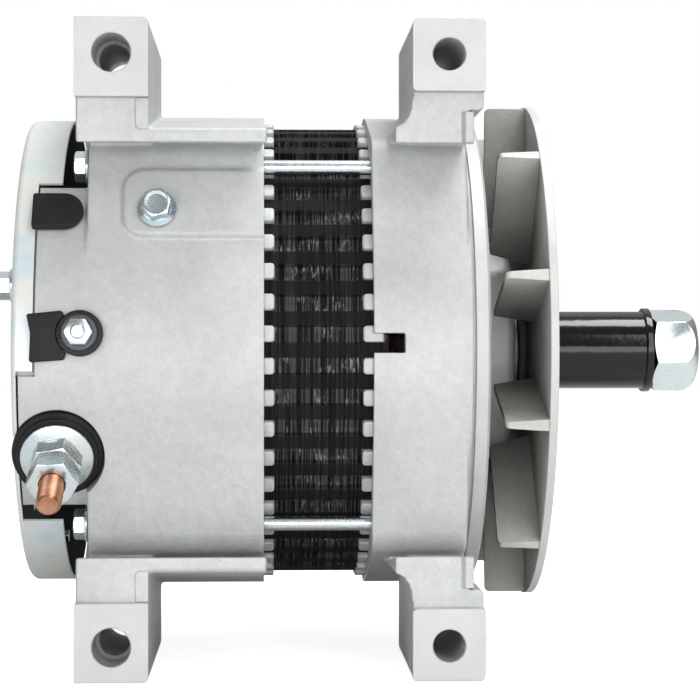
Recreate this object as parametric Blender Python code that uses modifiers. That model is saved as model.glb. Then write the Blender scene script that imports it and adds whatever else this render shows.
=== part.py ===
"""Generator alternator head: pad mount, outside fan, twin cast frames round an open stator.

Metres, +Z up. The shaft lies along X with its end face at X = 0, so everything behind it has
a negative X. The four mounting pads face -Y. Angles called clock start at -Y, the side of the
pads, and rise towards +Z.
"""
import math

import bmesh
import bpy
from mathutils import Matrix, Vector

# Clearances
SEAT_GAP = 0.0003
AIR_GAP = 0.0006
OVERRUN = 0.003
SINK = 0.002

# Lengths along the shaft, from its end face backwards
SHAFT_PROUD = 0.0006
NUT_LENGTH = 0.0201
SLEEVE_LENGTH = 0.0538
SLEEVE_RIM_LENGTH = 0.0032
FAN_DISC_THICKNESS = 0.0034
FAN_TO_HUB = 0.0071
HUB_STANDOUT = 0.0158
FRONT_FRAME_DEPTH = 0.0472
STATOR_WINDOW = 0.0440
REAR_FRAME_DEPTH = 0.0709
CROWN_DEPTH = 0.0271
COVER_STANDOFF = 0.0298

# Case
CASE_RADIUS = 0.1024
CASE_WALL = 0.0079
REGISTER_DEPTH = 0.0060
FRONT_WALL = 0.0072
REAR_WALL = 0.0070
WINDOW_COUNT = 8
FRONT_WINDOW_INNER = 0.0580
FRONT_WINDOW_MARGIN = 0.0095
FRONT_WINDOW_SHARE = 0.66
REAR_WINDOW_INNER = 0.0360
REAR_WINDOW_MARGIN = 0.0185
REAR_WINDOW_SHARE = 0.62
RIM_STEP = 0.0022
RIM_LENGTH = 0.0060
RIM_CHAMFER = 0.0012
GROOVE_WIDTH = 0.0016
GROOVE_DEPTH = 0.0014
WALL_DISH = 0.0016
HUB_RADIUS = 0.0480
HUB_CORNER = 0.0042
HUB_FILLET = 0.0030
SEAL_BORE_RADIUS = 0.0320
BEARING_LIP = 0.0022

# Through bolts and the lobes that they pass through
BOLT_CIRCLE_PROUD = 0.0011
BOLT_PATTERN_TURN = math.radians(1.6)
BOLT_RADIUS = 0.0030
BOLT_HEAD_FLATS = 0.0111
BOLT_HEAD_HEIGHT = 0.0046
BOLT_WASHER_RADIUS = 0.0075
BOLT_WASHER_THICKNESS = 0.0015
BOLT_THREAD_REACH = 0.0240
LOBE_PROUD = 0.00025
LOBE_RADIUS = 0.0125
LOBE_ROOT_DEPTH = 0.0124
FRONT_LOBE_LENGTH = 0.0388

# Ears with the four mounting pads
PAD_STANDOFF = 0.0186
PAD_PROUD = 0.0050
EAR_RISE = 0.0271
EAR_HOLE_INSET = 0.0138
EAR_CORNER = 0.0030
REAR_EAR_WIDTH = 0.0288
REAR_EAR_INSET = 0.0450
REAR_EAR_BACK = 0.0040
REAR_EAR_BORE_RADIUS = 0.0076
REAR_PAD_HEIGHT = 0.0308
FRONT_EAR_WIDTH = 0.0285
FRONT_EAR_INSET = 0.0142
FRONT_EAR_BACK = 0.0240
FRONT_EAR_BORE_RADIUS = 0.0064
FRONT_PAD_HEIGHT = 0.0282
FRONT_NECK_WIDTH = 0.0219
FRONT_HEAD_HEIGHT = 0.0353
NECK_LOBE_SHARE = 0.65
LEDGE_DROP = 0.0154
LEDGE_EDGE = 0.0035
LEDGE_FOOT_SHARE = 0.4
LEDGE_LOBE_SHARE = 0.92
REAR_EAR_EDGE = 0.0042
REAR_EAR_FOOT_SHARE = 0.3
REAR_EAR_LOBE_SHARE = 0.84

# Crown behind the rear frame, which carries the terminals
CROWN_UPPER_ANGLE = math.radians(40.5)
CROWN_LOWER_ANGLE = math.radians(38.2)
CROWN_THICKNESS = 0.0124
SPIGOT_DEPTH = 0.0057
SPIGOT_STEP_ANGLE = math.radians(1.0)
SPIGOT_LOW_ANGLE = math.radians(-5.9)
CROWN_STEP_DEPTH = 0.0016
BOLT_PAD_LENGTH = 0.0568
BOLT_PAD_LOW = 0.0163
BOLT_PAD_HIGH = 0.0450
BOLT_PAD_CORNER = 0.0075
BOLT_PAD_PROUD = 0.0012
PLUG_CLOCK = math.radians(32.4)
FRAME_NOTCH_LENGTH = 0.0125
FRAME_NOTCH_HEIGHT = 0.0080
FRAME_NOTCH_CLOCK = math.radians(1.6)

# Stator
STATOR_INSET = 0.0049
STATOR_VALLEY_DEPTH = 0.0028
STATOR_DEPTH = 0.0270
SLOT_COUNT = 48
RIB_WIDTH = 0.0060
SLOT_WIDTH = 0.0048
SLOT_DEPTH = 0.0160
CROWN_WINDING_LENGTH = 0.0170
CROWN_WINDING_SPREAD = 0.0030

# Rotor
POLE_COUNT = 8
POLE_LENGTH = 0.0600
YOKE_LENGTH = 0.0140
YOKE_INSET = 0.0139
CLAW_ROOT_WIDTH = 0.0240
CLAW_TIP_WIDTH = 0.0100
CLAW_ROOT_THICKNESS = 0.0130
CLAW_TIP_THICKNESS = 0.0055
COIL_INSET = 0.0040
SHAFT_CORE_RADIUS = 0.0127
SHAFT_SEAT_RADIUS = 0.0111
SHAFT_SHOULDER_RADIUS = 0.0190
SHAFT_TAIL_RADIUS = 0.0080
SHAFT_CHAMFER = 0.0012
SHAFT_TAIL_LENGTH = 0.0250

# Bearings
FRONT_BEARING_BORE_RADIUS = 0.0150
FRONT_BEARING_OUTER_RADIUS = 0.0360
FRONT_BEARING_WIDTH = 0.0190
FRONT_RING_THICKNESS = 0.0047
REAR_BEARING_BORE_RADIUS = 0.0085
REAR_BEARING_OUTER_RADIUS = 0.0200
REAR_BEARING_WIDTH = 0.0140
REAR_RING_THICKNESS = 0.00255
ROLLER_COUNT = 7
ROLLER_GAP = 0.0003
CAGE_BAND_SHARE = 0.35
REAR_BEARING_BOSS_WALL = 0.0080
REAR_SHAFT_HOLE_RADIUS = 0.0160

# Retainer plate of the front bearing
RETAINER_THICKNESS = 0.0030
RETAINER_BORE_RADIUS = 0.0240
RETAINER_SCREW_CIRCLE = 0.0430
RETAINER_LOBE_RADIUS = 0.0070
RETAINER_SCREW_COUNT = 3
RETAINER_LOBE_TURN = math.radians(81.0)
RETAINER_WAIST_SHARE = 1.4

# Fan, spacer, sleeve, nut and key
FAN_PROUD = 0.0054
FAN_BLADE_COUNT = 11
FAN_BLADE_DEPTH = 0.0173
FAN_BLADE_INNER = 0.0500
FAN_BLADE_SLANT = 0.0055
FAN_BLADE_OUTER_INSET = 0.0008
FAN_BLADE_ROOT = 0.0051
FAN_BLADE_TIP = 0.0032
FAN_BLADE_CORNER = 0.0050
FAN_HUB_RADIUS = 0.0240
FAN_HUB_LENGTH = 0.0030
SPACER_RADIUS = 0.0185
SLEEVE_RADIUS = 0.0171
SLEEVE_RIM_RADIUS = 0.0186
NUT_FLATS = 0.03175
NUT_CROWN_LENGTH = 0.0090
NUT_TURN = math.radians(12.0)
NUT_TIP_RADIUS = 0.0118
KEY_WIDTH = 0.0048
KEY_LENGTH = 0.0190
KEY_HEIGHT = 0.0054
KEY_BED_DEPTH = 0.0028

# Slip rings and brushes
RING_HUB_RADIUS = 0.0105
RING_RADIUS = 0.0130
RING_WIDTH = 0.0070
RING_SPACE = 0.0030
BRUSH_WIDTH = 0.0050
BRUSH_DEPTH = 0.0080
BRUSH_LENGTH = 0.0160
BRUSH_HOLDER_WALL = 0.0025
BRUSH_HOLDER_HEIGHT = 0.0240
BRUSH_HOLDER_LIFT = 0.0014
REGULATOR_HEIGHT = 0.0100
REGULATOR_WIDTH = 0.0300
REGULATOR_FIN_COUNT = 5
REGULATOR_FIN_HEIGHT = 0.0040

# Rear cover
COVER_INSET = 0.0016
COVER_SHEET = 0.0012
COVER_CORNER = 0.0030
COVER_SKIRT = 0.0185
COVER_SKIRT_SHORT = 0.0081
COVER_SKIRT_TERMINAL = 0.0021
COVER_GAP_HALF_ANGLE = math.radians(42.6)
COVER_TERMINAL_TOP = math.radians(-4.9)
COVER_TERMINAL_BOTTOM = math.radians(-44.1)
COVER_SLOT_COUNT = 12
COVER_SLOT_INNER = 0.0400
COVER_SLOT_MARGIN = 0.0288
COVER_SLOT_WIDTH = 0.0060
COVER_SCREW_COUNT = 3
COVER_SCREW_INSET = 0.0148
COVER_SCREW_CLOCK = math.radians(17.6)
COVER_SCREW_FLATS = 0.0100
COVER_SCREW_HEAD = 0.0050
COVER_SCREW_FLANGE = 0.0015
COVER_SCREW_FLANGE_RADIUS = 0.0070
COVER_SCREW_RADIUS = 0.0028
COVER_SCREW_REACH = 0.0120
COVER_POST_RADIUS = 0.0052

# Rectifier
PLATE_THICKNESS = 0.0035
PLATE_INNER_RADIUS = 0.0320
PLATE_MARGIN = 0.0165
PLATE_SPAN = math.radians(96.0)
NEGATIVE_PLATE_CLOCK = math.radians(164.0)
POSITIVE_PLATE_CLOCK = math.radians(-96.0)
SHEET_THICKNESS = 0.0010
DIODE_COUNT = 3
DIODE_RADIUS = 0.0064
DIODE_HEIGHT = 0.0080
DIODE_TAPER_SHARE = 0.9
DIODE_PIN_RADIUS = 0.0012
DIODE_PIN_LENGTH = 0.0060

# Output terminal
OUTPUT_CLOCK = math.radians(-24.2)
OUTPUT_SETBACK = 0.0117
OUTPUT_SEAT_DEPTH = 0.0034
OUTPUT_BOSS_RADIUS = 0.0190
INSULATOR_RADIUS = 0.0184
INSULATOR_THICKNESS = 0.0050
OUTPUT_STUD_RADIUS = 0.0050
OUTPUT_STUD_STANDOUT = 0.0429
OUTPUT_STUD_HEAD = 0.0090
OUTPUT_STUD_HEAD_HEIGHT = 0.0030
FLANGE_NUT_RADIUS = 0.0147
FLANGE_NUT_RIM = 0.0016
FLANGE_NUT_FLATS = 0.0185
FLANGE_NUT_HEIGHT = 0.0125
FLANGE_NUT_TURN = math.radians(10.0)
LOCK_NUT_FLATS = 0.0180
LOCK_NUT_TURN = math.radians(2.0)
LOCK_NUT_HEIGHT = 0.0115

# Small terminal with its lead strap, and the rubber plug
RELAY_HEIGHT = 0.0065
RELAY_SETBACK = 0.0020
RELAY_BASE_RADIUS = 0.0092
RELAY_BASE_THICKNESS = 0.0034
RELAY_EYE_RADIUS = 0.0073
RELAY_STUD_RADIUS = 0.0030
RELAY_STUD_DEPTH = 0.0100
RELAY_NUT_FLATS = 0.0100
RELAY_NUT_HEIGHT = 0.0050
STRAP_LENGTH = 0.0163
STRAP_WIDTH = 0.0204
STRAP_THICKNESS = 0.0030
STRAP_SETBACK = 0.0068
STRAP_HEIGHT = 0.0056
STRAP_CORNER = 0.0018
EYE_THICKNESS = 0.0025
EYE_BRIDGE_WIDTH = 0.0070
PLUG_LENGTH = 0.0205
PLUG_HALF_HEIGHT = 0.0082
PLUG_SETBACK = 0.0003
PLUG_PROUD = 0.0032
PLUG_STEM_DEPTH = 0.0060
PLUG_FLANGE = 0.0020

# Flange bolt on the raised pad
PAD_BOLT_SETBACK = 0.0280
PAD_BOLT_RISE = 0.0275
PAD_BOLT_FLANGE_RADIUS = 0.0078
PAD_BOLT_FLANGE = 0.0018
PAD_BOLT_FLATS = 0.0110
PAD_BOLT_HEAD = 0.0060
PAD_BOLT_RADIUS = 0.0030
PAD_BOLT_DEPTH = 0.0070
PAD_BOLT_TURN = math.radians(15.0)

# Fineness of round forms, in segments
LARGE_STEPS = 48
MEDIUM_STEPS = 20
SMALL_STEPS = 14
TINY_STEPS = 8
CORNER_STEPS = 3
ROLLER_STEPS = 4
SECTOR_STEPS = 11
MERGE_DISTANCE = 0.00001
SHARP_ANGLE = math.radians(35.0)

# Stations along X, chained back from the end of the shaft
NUT_FRONT = -SHAFT_PROUD
NUT_BACK = NUT_FRONT - NUT_LENGTH
SLEEVE_FRONT = NUT_BACK - SEAT_GAP
SLEEVE_BACK = SLEEVE_FRONT - SLEEVE_LENGTH
FAN_FRONT = SLEEVE_BACK - SEAT_GAP
FAN_BACK = FAN_FRONT - FAN_DISC_THICKNESS
HUB_FRONT = FAN_BACK - FAN_TO_HUB
FRONT_RIM = HUB_FRONT - HUB_STANDOUT
FRONT_WALL_BACK = FRONT_RIM - FRONT_WALL
FRONT_SEAM = FRONT_RIM - FRONT_FRAME_DEPTH
REAR_SEAM = FRONT_SEAM - STATOR_WINDOW
BOSS_FACE = REAR_SEAM - REAR_FRAME_DEPTH
REAR_WALL_FRONT = BOSS_FACE + REAR_WALL
CROWN_BACK = BOSS_FACE - CROWN_DEPTH
COVER_BACK = BOSS_FACE - COVER_STANDOFF
CORE_FRONT = FRONT_SEAM + REGISTER_DEPTH
CORE_BACK = REAR_SEAM - REGISTER_DEPTH
ROTOR_MIDDLE = (CORE_FRONT + CORE_BACK) / 2
POLE_FRONT_FACE = ROTOR_MIDDLE + POLE_LENGTH / 2
POLE_BACK_FACE = ROTOR_MIDDLE - POLE_LENGTH / 2
FRONT_BEARING_FRONT = HUB_FRONT - BEARING_LIP - SEAT_GAP
FRONT_BEARING_BACK = FRONT_BEARING_FRONT - FRONT_BEARING_WIDTH
REAR_BEARING_BACK = BOSS_FACE + BEARING_LIP + SEAT_GAP
REAR_BEARING_FRONT = REAR_BEARING_BACK + REAR_BEARING_WIDTH
SHAFT_TAIL = BOSS_FACE - SHAFT_TAIL_LENGTH
OUTPUT_STATION = BOSS_FACE - OUTPUT_SETBACK
RELAY_STATION = BOSS_FACE - RELAY_SETBACK
PAD_BOLT_STATION = BOSS_FACE + PAD_BOLT_SETBACK

# Radii that follow from the ones above
CASE_INNER_RADIUS = CASE_RADIUS - CASE_WALL
FRONT_WINDOW_OUTER = CASE_INNER_RADIUS - FRONT_WINDOW_MARGIN
REAR_WINDOW_OUTER = CASE_INNER_RADIUS - REAR_WINDOW_MARGIN
RIM_RADIUS = CASE_RADIUS - RIM_STEP
BOLT_CIRCLE_RADIUS = CASE_RADIUS + BOLT_CIRCLE_PROUD
PAD_PLANE_DEPTH = CASE_RADIUS + PAD_STANDOFF
EAR_HALF_HEIGHT = CASE_RADIUS + EAR_RISE
EAR_HOLE_HEIGHT = EAR_HALF_HEIGHT - EAR_HOLE_INSET
LEDGE_HALF_HEIGHT = CASE_RADIUS - LEDGE_DROP
CROWN_INNER_RADIUS = CASE_RADIUS - CROWN_THICKNESS
FAN_RADIUS = CASE_RADIUS + FAN_PROUD
STATOR_RADIUS = CASE_RADIUS - STATOR_INSET
STATOR_BORE_RADIUS = STATOR_RADIUS - STATOR_DEPTH
REGISTER_RADIUS = (STATOR_RADIUS + SEAT_GAP) / math.cos(math.pi / LARGE_STEPS)
VALLEY_RADIUS = STATOR_RADIUS - STATOR_VALLEY_DEPTH
ROTOR_RADIUS = STATOR_BORE_RADIUS - AIR_GAP
YOKE_RADIUS = ROTOR_RADIUS - YOKE_INSET
COIL_OUTER_RADIUS = YOKE_RADIUS - COIL_INSET
SLOT_FLOOR_RADIUS = STATOR_BORE_RADIUS + SLOT_DEPTH
COVER_RADIUS = CASE_RADIUS - COVER_INSET
COVER_SLOT_OUTER = COVER_RADIUS - COVER_SLOT_MARGIN
COVER_SCREW_CIRCLE = COVER_RADIUS - COVER_SCREW_INSET
PLATE_OUTER_RADIUS = CASE_INNER_RADIUS - PLATE_MARGIN
OUTPUT_SEAT_RADIUS = CASE_RADIUS - OUTPUT_SEAT_DEPTH
OUTPUT_STUD_TIP = CASE_RADIUS + OUTPUT_STUD_STANDOUT
SPIGOT_RADIUS = (COVER_RADIUS - COVER_SHEET) * math.cos(math.pi / LARGE_STEPS) - SEAT_GAP
FRONT_ROLLER_RADIUS = (FRONT_BEARING_OUTER_RADIUS - FRONT_BEARING_BORE_RADIUS) / 2 - FRONT_RING_THICKNESS
REAR_ROLLER_RADIUS = (REAR_BEARING_OUTER_RADIUS - REAR_BEARING_BORE_RADIUS) / 2 - REAR_RING_THICKNESS
THROUGH_CLOCKS = [math.pi / 4 + BOLT_PATTERN_TURN + math.pi / 2 * quarter for quarter in range(4)]
LOBE_LEAN = math.acos((CASE_RADIUS - LOBE_RADIUS) / BOLT_CIRCLE_RADIUS)
FLAT_CLOCK = THROUGH_CLOCKS[0] - LOBE_LEAN


# Scene set-up

for leftover in list(bpy.data.objects):
    bpy.data.objects.remove(leftover, do_unlink=True)

PARTS = bpy.data.collections.new("alternator_head")
CUTTERS = bpy.data.collections.new("cutters")
bpy.context.scene.collection.children.link(PARTS)
bpy.context.scene.collection.children.link(CUTTERS)


def make_material(name, colour, metallic, roughness):
    """A Principled material of one colour."""
    made = bpy.data.materials.new(name)
    made.use_nodes = True
    shader = made.node_tree.nodes["Principled BSDF"]
    shader.inputs["Base Color"].default_value = (*colour, 1.0)
    shader.inputs["Metallic"].default_value = metallic
    shader.inputs["Roughness"].default_value = roughness
    return made


FINISHES = {
    "cast_aluminium": ((0.66, 0.67, 0.66), 0.6, 0.55),
    "lamination_steel": ((0.02, 0.02, 0.02), 0.3, 0.5),
    "copper_winding": ((0.42, 0.14, 0.05), 0.5, 0.4),
    "zinc_steel": ((0.62, 0.66, 0.68), 1.0, 0.25),
    "black_rubber": ((0.02, 0.02, 0.02), 0.0, 0.6),
    "black_plastic": ((0.015, 0.015, 0.016), 0.0, 0.4),
    "bare_copper": ((0.68, 0.3, 0.17), 1.0, 0.35),
    "bare_steel": ((0.45, 0.45, 0.46), 1.0, 0.35),
    "black_gloss": ((0.008, 0.008, 0.008), 0.0, 0.12),
    "carbon": ((0.05, 0.05, 0.05), 0.2, 0.6),
}


# Frames of reference: each turns a shape built about its own Z

def about_shaft(x=0.0, y=0.0, z=0.0, turn=0.0):
    """Local Z runs along the shaft."""
    return (Matrix.Translation((x, y, z)) @ Matrix.Rotation(math.pi / 2, 4, "Y")
            @ Matrix.Rotation(turn, 4, "Z"))


def radial(clock, x):
    """Local Z points out from the shaft, local X along it, local Y round it."""
    outward = Vector((0.0, -math.cos(clock), math.sin(clock)))
    around = Vector((0.0, math.sin(clock), math.cos(clock)))
    frame = Matrix((Vector((1.0, 0.0, 0.0)), around, outward)).transposed().to_4x4()
    frame.translation = Vector((x, 0.0, 0.0))
    return frame


def section_frame():
    """Local X and Y are the world's Y and Z, and local Z runs along the shaft."""
    return Matrix(((0, 0, 1, 0), (1, 0, 0, 0), (0, 1, 0, 0), (0, 0, 0, 1)))


def on_circle(radius, clock):
    """The world Y and Z of a point at a radius and clock angle."""
    return -radius * math.cos(clock), radius * math.sin(clock)


# Makers of plain shapes

def add_object(name, mesh, frame=None):
    """Wrap a mesh in an object of the parts collection."""
    made = bpy.data.objects.new(name, mesh)
    PARTS.objects.link(made)
    if frame is not None:
        made.matrix_world = frame
    return made


def cone(name, low_radius, high_radius, low, high, frame, steps=MEDIUM_STEPS, turn=0.0):
    """A cylinder or cone between two heights of its frame."""
    mesh = bpy.data.meshes.new(name)
    form = bmesh.new()
    middle = Matrix.Translation((0.0, 0.0, (low + high) / 2)) @ Matrix.Rotation(turn, 4, "Z")
    bmesh.ops.create_cone(form, cap_ends=True, segments=steps, radius1=low_radius,
                          radius2=high_radius, depth=high - low, matrix=middle)
    form.to_mesh(mesh)
    form.free()
    return add_object(name, mesh, frame)


def rod(name, radius, low, high, frame, steps=MEDIUM_STEPS):
    """A cylinder between two heights of its frame."""
    return cone(name, radius, radius, low, high, frame, steps)


def bore_radius(radius, steps=MEDIUM_STEPS):
    """The corner radius of a faceted hole whose flats keep the seat gap to a round piece."""
    return (radius + SEAT_GAP) / math.cos(math.pi / steps)


def bore(name, radius, low, high, frame, steps=SMALL_STEPS):
    """A cutter that leaves the seat gap round a cylinder of the given radius."""
    return rod(name, bore_radius(radius, steps), low, high, frame, steps)


def hexagon(name, flats, low, high, frame, turn=0.0):
    """A hexagonal prism of a given width across its flats."""
    corner_radius = flats / 2 / math.cos(math.pi / 6)
    return cone(name, corner_radius, corner_radius, low, high, frame, 6, turn)


def block(name, low, high, frame=None):
    """A box between two corners of its frame."""
    mesh = bpy.data.meshes.new(name)
    form = bmesh.new()
    bmesh.ops.create_cube(form, size=1.0)
    size = [far - near for near, far in zip(low, high)]
    middle = [(far + near) / 2 for near, far in zip(low, high)]
    bmesh.ops.scale(form, vec=size, verts=form.verts)
    bmesh.ops.translate(form, vec=middle, verts=form.verts)
    form.to_mesh(mesh)
    form.free()
    return add_object(name, mesh, frame)


def turned(name, profile, steps=MEDIUM_STEPS, frame=None):
    """Turn a closed profile of (height, radius) points about its frame's Z."""
    area = 0.0
    for (height, radius), (next_height, next_radius) in zip(profile, profile[1:] + profile[:1]):
        area += radius * next_height - next_radius * height
    ordered = list(profile) if area < 0 else list(reversed(profile))
    on_axis = [index for index, point in enumerate(ordered) if point[1] == 0]
    if on_axis:
        first = on_axis[0]
        if on_axis[-1] == first + 1:
            first = on_axis[-1]
        ordered = ordered[first:] + ordered[:first]
    mesh = bpy.data.meshes.new(name)
    edges = [(index, index + 1) for index in range(len(ordered) - 1)]
    if not on_axis:
        edges.append((len(ordered) - 1, 0))
    mesh.from_pydata([(radius, 0.0, height) for height, radius in ordered], edges, [])
    made = add_object(name, mesh, about_shaft() if frame is None else frame)
    screw = made.modifiers.new("turn", "SCREW")
    screw.steps = steps
    screw.render_steps = steps
    screw.use_merge_vertices = True
    screw.merge_threshold = MERGE_DISTANCE
    screw.use_normal_calculate = False
    return made


def prism(name, outlines, low, high, frame):
    """Fill flat outlines, of which the inner ones are holes, and raise them between heights."""
    curve = bpy.data.curves.new(name, "CURVE")
    curve.dimensions = "2D"
    curve.fill_mode = "BOTH"
    curve.extrude = (high - low) / 2
    for outline in outlines:
        spline = curve.splines.new("POLY")
        spline.points.add(len(outline) - 1)
        for point, (u, v) in zip(spline.points, outline):
            point.co = (u, v, 0.0, 1.0)
        spline.use_cyclic_u = True
    drawn = bpy.data.objects.new(name, curve)
    PARTS.objects.link(drawn)
    evaluated = drawn.evaluated_get(bpy.context.evaluated_depsgraph_get())
    mesh = bpy.data.meshes.new_from_object(evaluated)
    bpy.data.objects.remove(drawn, do_unlink=True)
    bpy.data.curves.remove(curve)
    form = bmesh.new()
    form.from_mesh(mesh)
    bmesh.ops.remove_doubles(form, verts=form.verts, dist=MERGE_DISTANCE)
    bmesh.ops.translate(form, vec=(0.0, 0.0, (high + low) / 2), verts=form.verts)
    bmesh.ops.recalc_face_normals(form, faces=form.faces)
    form.to_mesh(mesh)
    form.free()
    mesh.name = name
    return add_object(name, mesh, frame)


# Outlines

def arc(radius, start, end, steps, centre=(0.0, 0.0)):
    """Points along an arc, both ends included."""
    points = []
    for step in range(steps + 1):
        angle = start + (end - start) * step / steps
        points.append((centre[0] + radius * math.cos(angle), centre[1] + radius * math.sin(angle)))
    return points


def clock_sector(inner, outer, start, end, steps):
    """The outline, in world Y and Z, of a ring's sector between two clock angles."""
    rim = [on_circle(outer, start + (end - start) * step / steps) for step in range(steps + 1)]
    core = [on_circle(inner, start + (end - start) * step / steps) for step in range(steps + 1)]
    return rim + core[::-1]


def rounded_rectangle(low, high, corner, steps=CORNER_STEPS):
    """A rectangle between two corners with all four rounded."""
    centres = [(high[0] - corner, high[1] - corner), (low[0] + corner, high[1] - corner),
               (low[0] + corner, low[1] + corner), (high[0] - corner, low[1] + corner)]
    points = []
    for quarter, centre in enumerate(centres):
        start = quarter * math.pi / 2
        points += arc(corner, start, start + math.pi / 2, steps, centre)
    return points


def mirrored(outline):
    """The same outline below the shaft."""
    return [(u, -v) for u, v in reversed(outline)]


# Joining and cutting

def combine(target, tool, operation):
    """Add a Boolean with a tool, which then becomes a hidden guide."""
    PARTS.objects.unlink(tool)
    CUTTERS.objects.link(tool)
    tool.hide_render = True
    tool.display_type = "WIRE"
    modifier = target.modifiers.new(tool.name, "BOOLEAN")
    modifier.operation = operation
    modifier.solver = "EXACT"
    modifier.object = tool


def join(target, *tools):
    for tool in tools:
        combine(target, tool, "UNION")


def cut(target, *tools):
    for tool in tools:
        combine(target, tool, "DIFFERENCE")


def finish(made, finish_name):
    """Give a finished piece its material and smooth shading with sharp edges kept."""
    if finish_name not in bpy.data.materials:
        make_material(finish_name, *FINISHES[finish_name])
    made.data.materials.append(bpy.data.materials[finish_name])
    made.data.shade_smooth()
    made.data.set_sharp_from_angle(angle=SHARP_ANGLE)
    return made


# Cast frames

def lobe_outline(clock):
    """A lobe whose sides run out as flats onto the round case, in world Y and Z."""
    y, z = on_circle(BOLT_CIRCLE_RADIUS, clock)
    start = clock - LOBE_LEAN
    end = clock + LOBE_LEAN
    root = CASE_RADIUS - LOBE_ROOT_DEPTH
    outline = [on_circle(root, start), on_circle(CASE_RADIUS, start)]
    for step in range(SMALL_STEPS + 1):
        out_y, out_z = on_circle(LOBE_RADIUS, start + (end - start) * step / SMALL_STEPS)
        outline.append((y + out_y, z + out_z))
    return outline + [on_circle(CASE_RADIUS, end), on_circle(root, end)]


def bolt_lobes(target, name, low, high):
    """Four lobes along a frame for the through bolts."""
    for index, clock in enumerate(THROUGH_CLOCKS):
        join(target, prism(f"{name}_lobe_{index}", [lobe_outline(clock)], low, high, section_frame()))


def bolt_holes(target, name, low, high):
    """Four clearance holes for the through bolts."""
    for index, clock in enumerate(THROUGH_CLOCKS):
        y, z = on_circle(BOLT_CIRCLE_RADIUS, clock)
        cut(target, bore(f"{name}_bolt_hole_{index}", BOLT_RADIUS, low, high, about_shaft(0.0, y, z),
                         TINY_STEPS))


def wall_windows(target, name, inner, outer, low, high, share):
    """Air windows through an end wall, between its spokes."""
    for index in range(WINDOW_COUNT):
        middle = math.tau * (index + 0.5) / WINDOW_COUNT
        half = math.pi / WINDOW_COUNT * share
        outline = clock_sector(inner, outer, middle - half, middle + half, CORNER_STEPS)
        cut(target, prism(f"{name}_window_{index}", [outline], low, high, section_frame()))


def ear_outline(back, pad_height, foot):
    """An ear from the side: pad in front, rounded top corners, foot in the case."""
    top = EAR_HALF_HEIGHT
    front = -PAD_PLANE_DEPTH
    neck = front + PAD_PROUD
    front_corner = arc(EAR_CORNER, math.pi, math.pi / 2, CORNER_STEPS,
                       (front + EAR_CORNER, top - EAR_CORNER))
    back_corner = arc(EAR_CORNER, math.pi / 2, 0.0, CORNER_STEPS, (-back - EAR_CORNER, top - EAR_CORNER))
    pad_foot = [(neck, top - pad_height), (front, top - pad_height)]
    return foot + pad_foot + front_corner + back_corner


def ear_bores(target, name, station, radius, back):
    """A bolt hole right through each ear."""
    for side, height in (("top", EAR_HOLE_HEIGHT), ("bottom", -EAR_HOLE_HEIGHT)):
        frame = Matrix.Translation((station, 0.0, height)) @ Matrix.Rotation(math.pi / 2, 4, "X")
        cut(target, rod(f"{name}_bore_{side}", radius, back - OVERRUN, PAD_PLANE_DEPTH + OVERRUN, frame,
                        SMALL_STEPS))


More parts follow.
